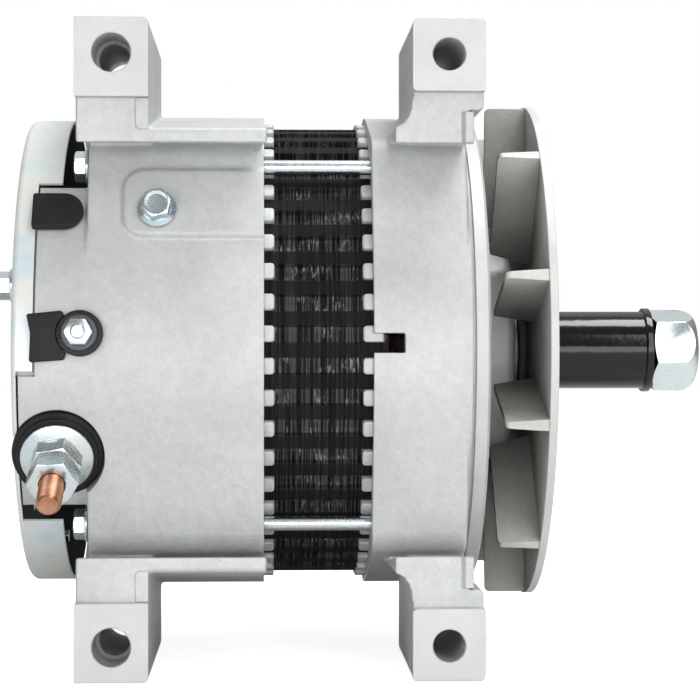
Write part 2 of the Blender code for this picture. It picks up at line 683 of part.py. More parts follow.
def make_front_frame():
    """Drive-end frame: ribless barrel, dished wall with windows, bearing hub and two ears."""
    name = "front_frame"
    groove_front = FRONT_RIM - RIM_LENGTH
    groove_back = groove_front - GROOVE_WIDTH
    groove_floor = CASE_RADIUS - GROOVE_DEPTH - (CASE_RADIUS - RIM_RADIUS)
    body = turned(name, [
        (FRONT_SEAM, 0.0),
        (FRONT_SEAM, CASE_RADIUS),
        (groove_back, CASE_RADIUS),
        (groove_back, groove_floor),
        (groove_front, groove_floor),
        (groove_front, RIM_RADIUS),
        (FRONT_RIM - RIM_CHAMFER, RIM_RADIUS),
        (FRONT_RIM, RIM_RADIUS - RIM_CHAMFER),
        (FRONT_RIM - WALL_DISH, HUB_RADIUS + HUB_FILLET),
        (FRONT_RIM - WALL_DISH + HUB_FILLET, HUB_RADIUS),
        (HUB_FRONT - HUB_CORNER, HUB_RADIUS),
        (HUB_FRONT, HUB_RADIUS - HUB_CORNER),
        (HUB_FRONT, 0.0),
    ], LARGE_STEPS)
    bolt_lobes(body, name, FRONT_SEAM + LOBE_PROUD, FRONT_SEAM + FRONT_LOBE_LENGTH)
    ear_low = FRONT_SEAM + FRONT_EAR_INSET
    head_foot = EAR_HALF_HEIGHT - FRONT_HEAD_HEIGHT
    neck_front = -PAD_PLANE_DEPTH + PAD_PROUD
    lobe_y, lobe_z = on_circle(BOLT_CIRCLE_RADIUS, THROUGH_CLOCKS[0])
    head = ear_outline(FRONT_EAR_BACK, FRONT_PAD_HEIGHT, [
        (-FRONT_EAR_BACK, head_foot),
        (neck_front, head_foot),
    ])
    neck = [
        (-FRONT_EAR_BACK - SINK, head_foot + SINK),
        (-FRONT_EAR_BACK - SINK, CASE_INNER_RADIUS - SINK),
        (lobe_y, lobe_z + LOBE_RADIUS / 2),
        (lobe_y - LOBE_RADIUS * NECK_LOBE_SHARE, lobe_z + LOBE_RADIUS * NECK_LOBE_SHARE),
        (neck_front + PAD_PROUD, head_foot - PAD_PROUD),
        (neck_front, head_foot - SINK),
        (neck_front, head_foot + SINK),
    ]
    for side, flip in (("top", list), ("bottom", mirrored)):
        join(body, prism(f"{name}_neck_{side}", [flip(neck)], ear_low + LOBE_PROUD,
                         ear_low + FRONT_NECK_WIDTH, section_frame()))
        join(body, prism(f"{name}_ear_{side}", [flip(head)], ear_low,
                         ear_low + FRONT_EAR_WIDTH, section_frame()))
    wall_windows(body, name, FRONT_WINDOW_INNER, FRONT_WINDOW_OUTER, FRONT_WALL_BACK - OVERRUN,
                 FRONT_RIM + OVERRUN, FRONT_WINDOW_SHARE)
    bearing_bore = bore_radius(FRONT_BEARING_OUTER_RADIUS, LARGE_STEPS)
    cut(body, turned(f"{name}_cavity", [
        (FRONT_SEAM - OVERRUN, 0.0),
        (FRONT_SEAM - OVERRUN, REGISTER_RADIUS),
        (FRONT_SEAM + REGISTER_DEPTH + SEAT_GAP, REGISTER_RADIUS),
        (FRONT_SEAM + REGISTER_DEPTH + SEAT_GAP, CASE_INNER_RADIUS),
        (FRONT_WALL_BACK, CASE_INNER_RADIUS),
        (FRONT_WALL_BACK, bearing_bore),
        (HUB_FRONT - BEARING_LIP, bearing_bore),
        (HUB_FRONT - BEARING_LIP, SEAL_BORE_RADIUS),
        (HUB_FRONT + OVERRUN, SEAL_BORE_RADIUS),
        (HUB_FRONT + OVERRUN, 0.0),
    ], LARGE_STEPS, about_shaft(turn=math.pi / LARGE_STEPS)))
    bolt_holes(body, name, FRONT_SEAM - OVERRUN, FRONT_SEAM + BOLT_THREAD_REACH + SEAT_GAP * 2)
    ear_bores(body, name, ear_low + FRONT_EAR_WIDTH / 2, FRONT_EAR_BORE_RADIUS, FRONT_EAR_BACK)
    notch = block(f"{name}_notch", (-OVERRUN, -FRAME_NOTCH_HEIGHT / 2, CASE_INNER_RADIUS - OVERRUN),
                  (FRAME_NOTCH_LENGTH, FRAME_NOTCH_HEIGHT / 2, CASE_RADIUS + OVERRUN),
                  radial(FRAME_NOTCH_CLOCK, FRONT_SEAM))
    cut(body, notch)
    return finish(body, "cast_aluminium")


def make_rear_frame():
    """Slip-ring-end frame: barrel, ledges to its two ears, crown for the terminals."""
    name = "rear_frame"
    body = turned(name, [
        (BOSS_FACE, 0.0),
        (BOSS_FACE, CASE_RADIUS - RIM_CHAMFER),
        (BOSS_FACE + RIM_CHAMFER, CASE_RADIUS),
        (REAR_SEAM, CASE_RADIUS),
        (REAR_SEAM, 0.0),
    ], LARGE_STEPS)
    bolt_lobes(body, name, BOSS_FACE - LOBE_PROUD, REAR_SEAM - LOBE_PROUD)
    neck_front = -PAD_PLANE_DEPTH + PAD_PROUD
    lobe_y, lobe_z = on_circle(BOLT_CIRCLE_RADIUS, THROUGH_CLOCKS[0])
    reach = math.hypot(neck_front, LEDGE_HALF_HEIGHT)
    tangent = math.atan2(-neck_front, LEDGE_HALF_HEIGHT) - math.acos(CASE_RADIUS / reach)
    tangent_point = (-CASE_RADIUS * math.sin(tangent), CASE_RADIUS * math.cos(tangent))
    ledge_foot = [
        (tangent_point[0], tangent_point[1] - CASE_WALL / 2),
        (lobe_y + LOBE_RADIUS, lobe_z + LOBE_RADIUS * LEDGE_FOOT_SHARE),
        (lobe_y, lobe_z + LOBE_RADIUS * LEDGE_LOBE_SHARE),
        (neck_front, LEDGE_HALF_HEIGHT - LEDGE_EDGE),
    ]
    ledge = ledge_foot + [(neck_front, LEDGE_HALF_HEIGHT), tangent_point]
    ear_high = REAR_SEAM - REAR_EAR_INSET
    ear_low = ear_high - REAR_EAR_WIDTH
    ear_foot = [
        (-REAR_EAR_BACK, CASE_INNER_RADIUS + SINK),
        (lobe_y + LOBE_RADIUS, lobe_z + LOBE_RADIUS * REAR_EAR_FOOT_SHARE),
        (lobe_y, lobe_z + LOBE_RADIUS * REAR_EAR_LOBE_SHARE),
        (neck_front, LEDGE_HALF_HEIGHT - REAR_EAR_EDGE),
    ]
    ear = ear_outline(REAR_EAR_BACK, REAR_PAD_HEIGHT, ear_foot)
    for side, flip in (("top", list), ("bottom", mirrored)):
        join(body, prism(f"{name}_ledge_{side}", [flip(ledge)], ear_low + SINK,
                         REAR_SEAM - SINK / 4, section_frame()))
        join(body, prism(f"{name}_ear_{side}", [flip(ear)], ear_low, ear_high, section_frame()))
    spigot_front = CROWN_BACK + SPIGOT_DEPTH
    crown = clock_sector(CROWN_INNER_RADIUS, CASE_RADIUS, -CROWN_LOWER_ANGLE, CROWN_UPPER_ANGLE,
                         SECTOR_STEPS)
    spigot = clock_sector(CROWN_INNER_RADIUS + SINK, SPIGOT_RADIUS, SPIGOT_LOW_ANGLE,
                          CROWN_UPPER_ANGLE - SPIGOT_STEP_ANGLE, SECTOR_STEPS)
    step = clock_sector(CROWN_INNER_RADIUS, CASE_RADIUS, -CROWN_LOWER_ANGLE,
                        SPIGOT_LOW_ANGLE + SPIGOT_STEP_ANGLE, SECTOR_STEPS)
    join(body, prism(f"{name}_crown", [crown], spigot_front, BOSS_FACE + SINK * 2, section_frame()))
    join(body, prism(f"{name}_spigot", [spigot], CROWN_BACK, spigot_front + SINK, section_frame()))
    join(body, prism(f"{name}_step", [step], CROWN_BACK + CROWN_STEP_DEPTH, spigot_front + SINK,
                     section_frame()))
    pad_radius = CASE_RADIUS + BOLT_PAD_PROUD
    pad = rounded_rectangle((-BOLT_PAD_LENGTH, BOLT_PAD_LOW), (-SINK / 2, BOLT_PAD_HIGH), BOLT_PAD_CORNER)
    join(body, prism(f"{name}_bolt_pad", [pad], CASE_RADIUS - SINK, pad_radius,
                     radial(FLAT_CLOCK, REAR_SEAM)))
    post_inner = COVER_BACK + COVER_SHEET + SEAT_GAP
    for index in range(COVER_SCREW_COUNT):
        y, z = on_circle(COVER_SCREW_CIRCLE, COVER_SCREW_CLOCK + math.tau * index / COVER_SCREW_COUNT)
        join(body, rod(f"{name}_post_{index}", COVER_POST_RADIUS, post_inner, BOSS_FACE + SINK,
                       about_shaft(0.0, y, z), SMALL_STEPS))
    boss_outer = REAR_BEARING_OUTER_RADIUS + REAR_BEARING_BOSS_WALL
    bearing_bore = bore_radius(REAR_BEARING_OUTER_RADIUS, LARGE_STEPS)
    cut(body, turned(f"{name}_cavity", [
        (REAR_SEAM + OVERRUN, 0.0),
        (REAR_SEAM + OVERRUN, REGISTER_RADIUS),
        (REAR_SEAM - REGISTER_DEPTH - SEAT_GAP, REGISTER_RADIUS),
        (REAR_SEAM - REGISTER_DEPTH - SEAT_GAP, CASE_INNER_RADIUS),
        (REAR_WALL_FRONT, CASE_INNER_RADIUS),
        (REAR_WALL_FRONT, boss_outer),
        (REAR_BEARING_FRONT + SEAT_GAP, boss_outer),
        (REAR_BEARING_FRONT + SEAT_GAP, bearing_bore),
        (BOSS_FACE + BEARING_LIP, bearing_bore),
        (BOSS_FACE + BEARING_LIP, REAR_SHAFT_HOLE_RADIUS),
        (BOSS_FACE - OVERRUN, REAR_SHAFT_HOLE_RADIUS),
        (BOSS_FACE - OVERRUN, 0.0),
    ], LARGE_STEPS, about_shaft(turn=math.pi / LARGE_STEPS)))
    wall_windows(body, name, REAR_WINDOW_INNER, REAR_WINDOW_OUTER, BOSS_FACE - OVERRUN,
                 REAR_WALL_FRONT + OVERRUN, REAR_WINDOW_SHARE)
    bolt_holes(body, name, BOSS_FACE - OVERRUN, REAR_SEAM + OVERRUN)
    ear_bores(body, name, ear_low + REAR_EAR_WIDTH / 2, REAR_EAR_BORE_RADIUS, REAR_EAR_BACK)
    for index in range(COVER_SCREW_COUNT):
        y, z = on_circle(COVER_SCREW_CIRCLE, COVER_SCREW_CLOCK + math.tau * index / COVER_SCREW_COUNT)
        cut(body, bore(f"{name}_post_hole_{index}", COVER_SCREW_RADIUS, post_inner - OVERRUN,
                       post_inner + COVER_SCREW_REACH, about_shaft(0.0, y, z), TINY_STEPS))
    terminal = radial(OUTPUT_CLOCK, OUTPUT_STATION)
    cut(body, rod(f"{name}_output_seat", OUTPUT_BOSS_RADIUS, OUTPUT_SEAT_RADIUS,
                  CASE_RADIUS + LOBE_RADIUS, terminal, MEDIUM_STEPS))
    cut(body, bore(f"{name}_output_hole", OUTPUT_STUD_RADIUS, CROWN_INNER_RADIUS - OVERRUN,
                   CASE_RADIUS, terminal))
    relay = relay_frame()
    cut(body, bore(f"{name}_relay_hole", RELAY_STUD_RADIUS, CASE_RADIUS - RELAY_STUD_DEPTH,
                   CASE_RADIUS + OVERRUN, relay, TINY_STEPS))
    cut(body, bore(f"{name}_pad_bolt_hole", PAD_BOLT_RADIUS, pad_radius - PAD_BOLT_DEPTH - SEAT_GAP,
                   pad_radius + OVERRUN, pad_bolt_frame(), TINY_STEPS))
    cut(body, prism(f"{name}_plug_pocket", [plug_outline(-PLUG_FLANGE)],
                    CASE_RADIUS - PLUG_STEM_DEPTH - SEAT_GAP, CASE_RADIUS + OVERRUN, plug_frame()))
    return finish(body, "cast_aluminium")


# Stator

def make_stator_core():
    """Lamination stack: ribs outside, one slot under each rib's neighbour inside."""
    pitch = math.tau / SLOT_COUNT
    rib_half = RIB_WIDTH / 2 / STATOR_RADIUS
    slot_half_inner = SLOT_WIDTH / 2 / STATOR_BORE_RADIUS
    slot_half_floor = SLOT_WIDTH / 2 / SLOT_FLOOR_RADIUS
    outside = []
    inside = []
    for index in range(SLOT_COUNT):
        middle = pitch * index
        outside.append(on_circle(VALLEY_RADIUS, middle - rib_half))
        outside.append(on_circle(STATOR_RADIUS, middle - rib_half))
        outside.append(on_circle(STATOR_RADIUS, middle + rib_half))
        outside.append(on_circle(VALLEY_RADIUS, middle + rib_half))
        inside.append(on_circle(STATOR_BORE_RADIUS, middle - slot_half_inner))
        inside.append(on_circle(SLOT_FLOOR_RADIUS, middle - slot_half_floor))
        inside.append(on_circle(SLOT_FLOOR_RADIUS, middle + slot_half_floor))
        inside.append(on_circle(STATOR_BORE_RADIUS, middle + slot_half_inner))
    return finish(prism("stator_core", [outside, inside], CORE_BACK, CORE_FRONT, section_frame()),
                  "lamination_steel")


def make_stator_winding():
    """The end turns at both faces of the core; the coil sides inside its slots are left out."""
    low = STATOR_BORE_RADIUS + AIR_GAP
    high = SLOT_FLOOR_RADIUS
    for end, face, direction in (("front", CORE_FRONT, 1), ("rear", CORE_BACK, -1)):
        root = face + direction * SEAT_GAP
        tip = root + direction * CROWN_WINDING_LENGTH
        finish(turned(f"stator_winding_{end}", [
            (root, low),
            (root, high),
            (tip - direction * CROWN_WINDING_SPREAD, high + CROWN_WINDING_SPREAD),
            (tip, high),
            (tip, low + CROWN_WINDING_SPREAD),
        ], SLOT_COUNT // 2), "copper_winding")


# Rotor

def make_claws(name, root, direction, first_clock):
    """Eight claws that taper from the yoke towards the other pole."""
    columns = 3
    length = POLE_LENGTH - YOKE_LENGTH / 2
    mesh = bpy.data.meshes.new(name)
    form = bmesh.new()
    for index in range(POLE_COUNT):
        middle = first_clock + math.tau * index / POLE_COUNT
        rings = []
        for station, width, thickness in ((0.0, CLAW_ROOT_WIDTH, CLAW_ROOT_THICKNESS),
                                          (length, CLAW_TIP_WIDTH, CLAW_TIP_THICKNESS)):
            half = width / 2 / ROTOR_RADIUS
            outline = clock_sector(ROTOR_RADIUS - thickness, ROTOR_RADIUS, middle - half,
                                   middle + half, columns)
            rings.append([form.verts.new((root + direction * station, y, z)) for y, z in outline])
        count = len(rings[0])
        for corner in range(count):
            after = (corner + 1) % count
            form.faces.new((rings[0][corner], rings[0][after], rings[1][after], rings[1][corner]))
        form.faces.new(rings[0])
        form.faces.new(rings[1])
    bmesh.ops.recalc_face_normals(form, faces=form.faces)
    form.to_mesh(mesh)
    form.free()
    return add_object(name, mesh)


def make_pole(name, yoke_low, yoke_high, root, direction, first_clock):
    """Half of the claw-pole rotor: a yoke on the shaft and its claws."""
    hole = bore_radius(SHAFT_CORE_RADIUS)
    body = turned(name, [
        (yoke_low, hole),
        (yoke_low, YOKE_RADIUS + SINK),
        (yoke_high, YOKE_RADIUS + SINK),
        (yoke_high, hole),
    ], MEDIUM_STEPS)
    join(body, make_claws(f"{name}_claws", root, direction, first_clock))
    return finish(body, "bare_steel")


def make_rotor_poles():
    claw_step = math.pi / POLE_COUNT
    make_pole("rotor_pole_front", POLE_FRONT_FACE - YOKE_LENGTH, POLE_FRONT_FACE,
              POLE_FRONT_FACE - SINK, -1, 0.0)
    make_pole("rotor_pole_rear", POLE_BACK_FACE, POLE_BACK_FACE + YOKE_LENGTH,
              POLE_BACK_FACE + SINK, 1, claw_step)


def make_field_coil():
    """Coil between the two yokes."""
    hole = bore_radius(SHAFT_CORE_RADIUS)
    low = POLE_BACK_FACE + YOKE_LENGTH + SEAT_GAP
    high = POLE_FRONT_FACE - YOKE_LENGTH - SEAT_GAP
    return finish(turned("field_coil", [(low, hole), (low, COIL_OUTER_RADIUS), (high, COIL_OUTER_RADIUS),
                                        (high, hole)]), "copper_winding")


def make_rotor_shaft():
    """Stepped shaft from the slip rings to its threaded front end."""
    front_seat = FRONT_BEARING_BORE_RADIUS - SEAT_GAP
    rear_seat = REAR_BEARING_BORE_RADIUS - SEAT_GAP
    spacer_front = FAN_BACK - FAN_HUB_LENGTH
    body = turned("rotor_shaft", [
        (0.0, 0.0),
        (0.0, SHAFT_SEAT_RADIUS - SHAFT_CHAMFER),
        (-SHAFT_CHAMFER, SHAFT_SEAT_RADIUS),
        (spacer_front - SEAT_GAP, SHAFT_SEAT_RADIUS),
        (spacer_front - SEAT_GAP, front_seat),
        (FRONT_BEARING_BACK - SEAT_GAP, front_seat),
        (FRONT_BEARING_BACK - SEAT_GAP, SHAFT_SHOULDER_RADIUS),
        (POLE_FRONT_FACE + SEAT_GAP, SHAFT_SHOULDER_RADIUS),
        (POLE_FRONT_FACE + SEAT_GAP, SHAFT_CORE_RADIUS),
        (POLE_BACK_FACE - SINK, SHAFT_CORE_RADIUS),
        (POLE_BACK_FACE - SINK - SHAFT_CHAMFER, (SHAFT_CORE_RADIUS + REAR_BEARING_BORE_RADIUS) / 2),
        (REAR_BEARING_FRONT + SEAT_GAP, (SHAFT_CORE_RADIUS + REAR_BEARING_BORE_RADIUS) / 2),
        (REAR_BEARING_FRONT + SEAT_GAP, rear_seat),
        (REAR_BEARING_BACK, rear_seat),
        (REAR_BEARING_BACK - SEAT_GAP, SHAFT_TAIL_RADIUS),
        (SHAFT_TAIL, SHAFT_TAIL_RADIUS),
        (SHAFT_TAIL, 0.0),
    ], SMALL_STEPS + 2)
    cut(body, key_block("rotor_shaft_key_bed", SEAT_GAP, OVERRUN))
    return finish(body, "bare_steel")


def key_block(name, slack, rise):
    """The key's own shape, or its bed with slack all round."""
    middle = SLEEVE_BACK + KEY_LENGTH / 2 + SINK
    low = SHAFT_SEAT_RADIUS - KEY_BED_DEPTH
    return block(name, (middle - KEY_LENGTH / 2 - slack, -KEY_WIDTH / 2 - slack, low - slack),
                 (middle + KEY_LENGTH / 2 + slack, KEY_WIDTH / 2 + slack, low + KEY_HEIGHT + rise),
                 radial(math.pi / 2, 0.0))


def make_slip_rings():
    """Insulating hub with two copper rings, behind the rear bearing."""
    hole = bore_radius(SHAFT_TAIL_RADIUS)
    hub_front = REAR_BEARING_BACK - SEAT_GAP * 2
    finish(turned("slip_ring_hub", [(SHAFT_TAIL, hole), (SHAFT_TAIL, RING_HUB_RADIUS),
                                    (hub_front, RING_HUB_RADIUS), (hub_front, hole)],
                  MEDIUM_STEPS), "black_plastic")
    for name, low in (("slip_ring_inner", ring_stations()[0]), ("slip_ring_outer", ring_stations()[1])):
        inner = bore_radius(RING_HUB_RADIUS)
        finish(turned(name, [(low, inner), (low, RING_RADIUS), (low + RING_WIDTH, RING_RADIUS),
                             (low + RING_WIDTH, inner)], MEDIUM_STEPS), "bare_copper")


def ring_stations():
    """Rear faces of the inner and outer slip rings."""
    outer = SHAFT_TAIL + RING_SPACE
    return outer + RING_WIDTH + RING_SPACE, outer


# Bearings

def make_bearing(end, back, width, shaft, outside, roller):
    """Outer ring, inner ring, and the rollers in their cage."""
    track = (shaft + outside) / 2
    race_outer = (track + roller + ROLLER_GAP) / math.cos(math.pi / MEDIUM_STEPS)
    race_inner = track - roller - ROLLER_GAP
    front = back + width
    finish(turned(f"{end}_bearing_outer", [(back, race_outer), (back, outside), (front, outside),
                                           (front, race_outer)], MEDIUM_STEPS), "bare_steel")
    hole = bore_radius(shaft - SEAT_GAP)
    finish(turned(f"{end}_bearing_inner", [(back, hole), (back, race_inner), (front, race_inner),
                                           (front, hole)], MEDIUM_STEPS), "bare_steel")
    name = f"{end}_bearing_cage"
    finish(prism(name, cage_outlines(track, roller), back + width / 4, front - width / 4, section_frame()),
           "bare_steel")


def cage_outlines(track, roller):
    """A ring with the rollers standing out of it on both sides."""
    half_band = roller * CAGE_BAND_SHARE
    lean = math.asin(half_band / roller)
    outside = []
    inside = []
    for index in range(ROLLER_COUNT):
        clock = math.tau * index / ROLLER_COUNT
        y, z = on_circle(track, clock)
        outward = math.atan2(z, y)
        outside += arc(roller, outward + math.pi / 2 - lean, outward - math.pi / 2 + lean,
                       ROLLER_STEPS, (y, z))
        inside += arc(roller, outward + math.pi / 2 + lean, outward + 3 * math.pi / 2 - lean,
                      ROLLER_STEPS, (y, z))
    return [outside, inside]


def make_bearings():
    make_bearing("front", FRONT_BEARING_BACK, FRONT_BEARING_WIDTH, FRONT_BEARING_BORE_RADIUS,
                 FRONT_BEARING_OUTER_RADIUS, FRONT_ROLLER_RADIUS)
    make_bearing("rear", REAR_BEARING_BACK, REAR_BEARING_WIDTH, REAR_BEARING_BORE_RADIUS,
                 REAR_BEARING_OUTER_RADIUS, REAR_ROLLER_RADIUS)


def make_bearing_retainer():
    """Three-lobed plate behind the front bearing, flat against the wall of the frame."""
    front = FRONT_WALL_BACK - SEAT_GAP
    outline = []
    waist = math.asin(RETAINER_LOBE_RADIUS / RETAINER_SCREW_CIRCLE) * RETAINER_WAIST_SHARE
    step = math.tau / RETAINER_SCREW_COUNT
    body_radius = FRONT_BEARING_OUTER_RADIUS + SINK
    for index in range(RETAINER_SCREW_COUNT):
        middle = step * index
        y, z = on_circle(RETAINER_SCREW_CIRCLE, middle)
        outward = math.atan2(z, y)
        outline += arc(RETAINER_LOBE_RADIUS, outward + RETAINER_LOBE_TURN, outward - RETAINER_LOBE_TURN,
                       ROLLER_STEPS, (y, z))
        outline += [on_circle(body_radius, middle + waist + (step - waist * 2) * part / ROLLER_STEPS)
                    for part in range(ROLLER_STEPS + 1)]
    opening = [on_circle(RETAINER_BORE_RADIUS, math.tau * part / SMALL_STEPS)
               for part in range(SMALL_STEPS)]
    finish(prism("bearing_retainer", [outline, opening], front - RETAINER_THICKNESS, front,
                 section_frame()), "zinc_steel")


# Fan and what the nut clamps

def make_fan():
    """Cast disc with radial blades on its rear side, drafted and with rounded free corners."""
    name = "fan"
    hole = bore_radius(SHAFT_SEAT_RADIUS, LARGE_STEPS)
    hub_back = FAN_BACK - FAN_HUB_LENGTH + SEAT_GAP
    body = turned(name, [
        (FAN_FRONT, hole),
        (FAN_FRONT, FAN_RADIUS - RIM_CHAMFER / 2),
        (FAN_FRONT - RIM_CHAMFER / 2, FAN_RADIUS),
        (FAN_BACK, FAN_RADIUS),
        (FAN_BACK, FAN_HUB_RADIUS),
        (hub_back, FAN_HUB_RADIUS - RIM_CHAMFER),
        (hub_back, hole),
    ], LARGE_STEPS)
    blade_outer = FAN_RADIUS - FAN_BLADE_OUTER_INSET
    free_edge = FAN_BACK - FAN_BLADE_DEPTH
    corner = arc(FAN_BLADE_CORNER, math.pi, math.pi / 2, CORNER_STEPS,
                 (free_edge + FAN_BLADE_CORNER, blade_outer - FAN_BLADE_CORNER))
    outline = [(free_edge, FAN_BLADE_INNER + FAN_BLADE_SLANT)] + corner
    outline += [(FAN_BACK + SINK / 2, blade_outer), (FAN_BACK + SINK / 2, FAN_BLADE_INNER)]
    mesh = bpy.data.meshes.new(f"{name}_blades")
    form = bmesh.new()
    for index in range(FAN_BLADE_COUNT):
        clock = math.tau * (index + 0.5) / FAN_BLADE_COUNT
        frame = radial(clock, 0.0)
        sides = []
        for side in (-1, 1):
            corners = []
            for x, r in outline:
                depth_share = (x - free_edge) / (FAN_BACK - free_edge)
                half = (FAN_BLADE_TIP + (FAN_BLADE_ROOT - FAN_BLADE_TIP) * depth_share) / 2
                corners.append(form.verts.new(frame @ Vector((x, side * half, r))))
            form.faces.new(corners)
            sides.append(corners)
        for start in range(len(outline)):
            after = (start + 1) % len(outline)
            form.faces.new((sides[0][start], sides[0][after], sides[1][after], sides[1][start]))
    bmesh.ops.recalc_face_normals(form, faces=form.faces)
    form.to_mesh(mesh)
    form.free()
    join(body, add_object(f"{name}_blades", mesh))
    return finish(body, "cast_aluminium")


def make_clamped_parts():
    """Spacer, sleeve, key and nut on the front of the shaft."""
    hole = bore_radius(SHAFT_SEAT_RADIUS)
    spacer_front = FAN_BACK - FAN_HUB_LENGTH
    spacer_back = FRONT_BEARING_FRONT + SEAT_GAP
    spacer_hole = bore_radius(FRONT_BEARING_BORE_RADIUS - SEAT_GAP)
    finish(turned("fan_spacer", [(spacer_back, spacer_hole), (spacer_back, SPACER_RADIUS),
                                 (spacer_front, SPACER_RADIUS), (spacer_front, spacer_hole)]),
           "bare_steel")
    rim_back = SLEEVE_FRONT - SLEEVE_RIM_LENGTH
    sleeve = turned("shaft_sleeve", [
        (SLEEVE_BACK, hole),
        (SLEEVE_BACK, SLEEVE_RADIUS - SHAFT_CHAMFER / 2),
        (SLEEVE_BACK + SHAFT_CHAMFER / 2, SLEEVE_RADIUS),
        (rim_back, SLEEVE_RADIUS),
        (rim_back, SLEEVE_RIM_RADIUS - SHAFT_CHAMFER / 3),
        (rim_back + SHAFT_CHAMFER / 3, SLEEVE_RIM_RADIUS),
        (SLEEVE_FRONT, SLEEVE_RIM_RADIUS),
        (SLEEVE_FRONT, hole),
    ], MEDIUM_STEPS)
    cut(sleeve, key_block("shaft_sleeve_keyway", SEAT_GAP, SEAT_GAP))
    finish(sleeve, "black_gloss")
    finish(key_block("shaft_key", 0.0, 0.0), "bare_steel")
    nut = hexagon("shaft_nut", NUT_FLATS, NUT_BACK, NUT_FRONT, about_shaft(), NUT_TURN)
    corner = NUT_FLATS / 2 / math.cos(math.pi / 6)
    dome = [(NUT_BACK - OVERRUN, 0.0), (NUT_BACK - OVERRUN, corner + OVERRUN),
            (NUT_FRONT - NUT_CROWN_LENGTH, corner + SEAT_GAP)]
    for step in range(1, CORNER_STEPS + 1):
        angle = math.pi / 2 * step / CORNER_STEPS
        height = NUT_FRONT - NUT_CROWN_LENGTH * (1 - math.sin(angle))
        dome.append((height, NUT_TIP_RADIUS + (corner - NUT_TIP_RADIUS) * math.cos(angle)))
    dome += [(NUT_FRONT + OVERRUN, NUT_TIP_RADIUS), (NUT_FRONT + OVERRUN, 0.0)]
    combine(nut, turned("shaft_nut_dome", dome), "INTERSECT")
    cut(nut, bore("shaft_nut_thread", SHAFT_SEAT_RADIUS, NUT_BACK - OVERRUN, NUT_FRONT + OVERRUN,
                  about_shaft(), MEDIUM_STEPS))
    finish(nut, "zinc_steel")


# Fasteners that run along the shaft

def make_through_bolts():
    """Four long bolts from the rear lobes into the front frame."""
    washer_front = BOSS_FACE - LOBE_PROUD - SEAT_GAP
    head_front = washer_front - BOLT_WASHER_THICKNESS
    head_back = head_front - BOLT_HEAD_HEIGHT
    tip = FRONT_SEAM + BOLT_THREAD_REACH
    for index, clock in enumerate(THROUGH_CLOCKS):
        y, z = on_circle(BOLT_CIRCLE_RADIUS, clock)
        frame = about_shaft(0.0, y, z)
        name = f"through_bolt_{index + 1}"
        body = rod(name, BOLT_RADIUS, head_front - SINK / 2, tip, frame, TINY_STEPS)
        join(body, rod(f"{name}_washer", BOLT_WASHER_RADIUS, head_front, washer_front, frame, SMALL_STEPS))
        join(body, hexagon(f"{name}_head", BOLT_HEAD_FLATS, head_back, head_front + SINK / 4, frame))
        finish(body, "zinc_steel")


def make_cover_screws():
    """Flanged screws that hold the cover on the posts of the rear frame."""
    flange_front = COVER_BACK - SEAT_GAP
    head_front = flange_front - COVER_SCREW_FLANGE
    for index in range(COVER_SCREW_COUNT):
        y, z = on_circle(COVER_SCREW_CIRCLE, COVER_SCREW_CLOCK + math.tau * index / COVER_SCREW_COUNT)
        frame = about_shaft(0.0, y, z)
        name = f"cover_screw_{index + 1}"
        tip = COVER_BACK + COVER_SHEET + COVER_SCREW_REACH - SEAT_GAP
        body = rod(name, COVER_SCREW_RADIUS, head_front - SINK / 4, tip, frame, TINY_STEPS)
        join(body, rod(f"{name}_flange", COVER_SCREW_FLANGE_RADIUS, head_front, flange_front, frame,
                       SMALL_STEPS))
        join(body, hexagon(f"{name}_head", COVER_SCREW_FLATS, head_front - COVER_SCREW_HEAD,
                           head_front + SINK / 4, frame))
        finish(body, "zinc_steel")


# Rear cover

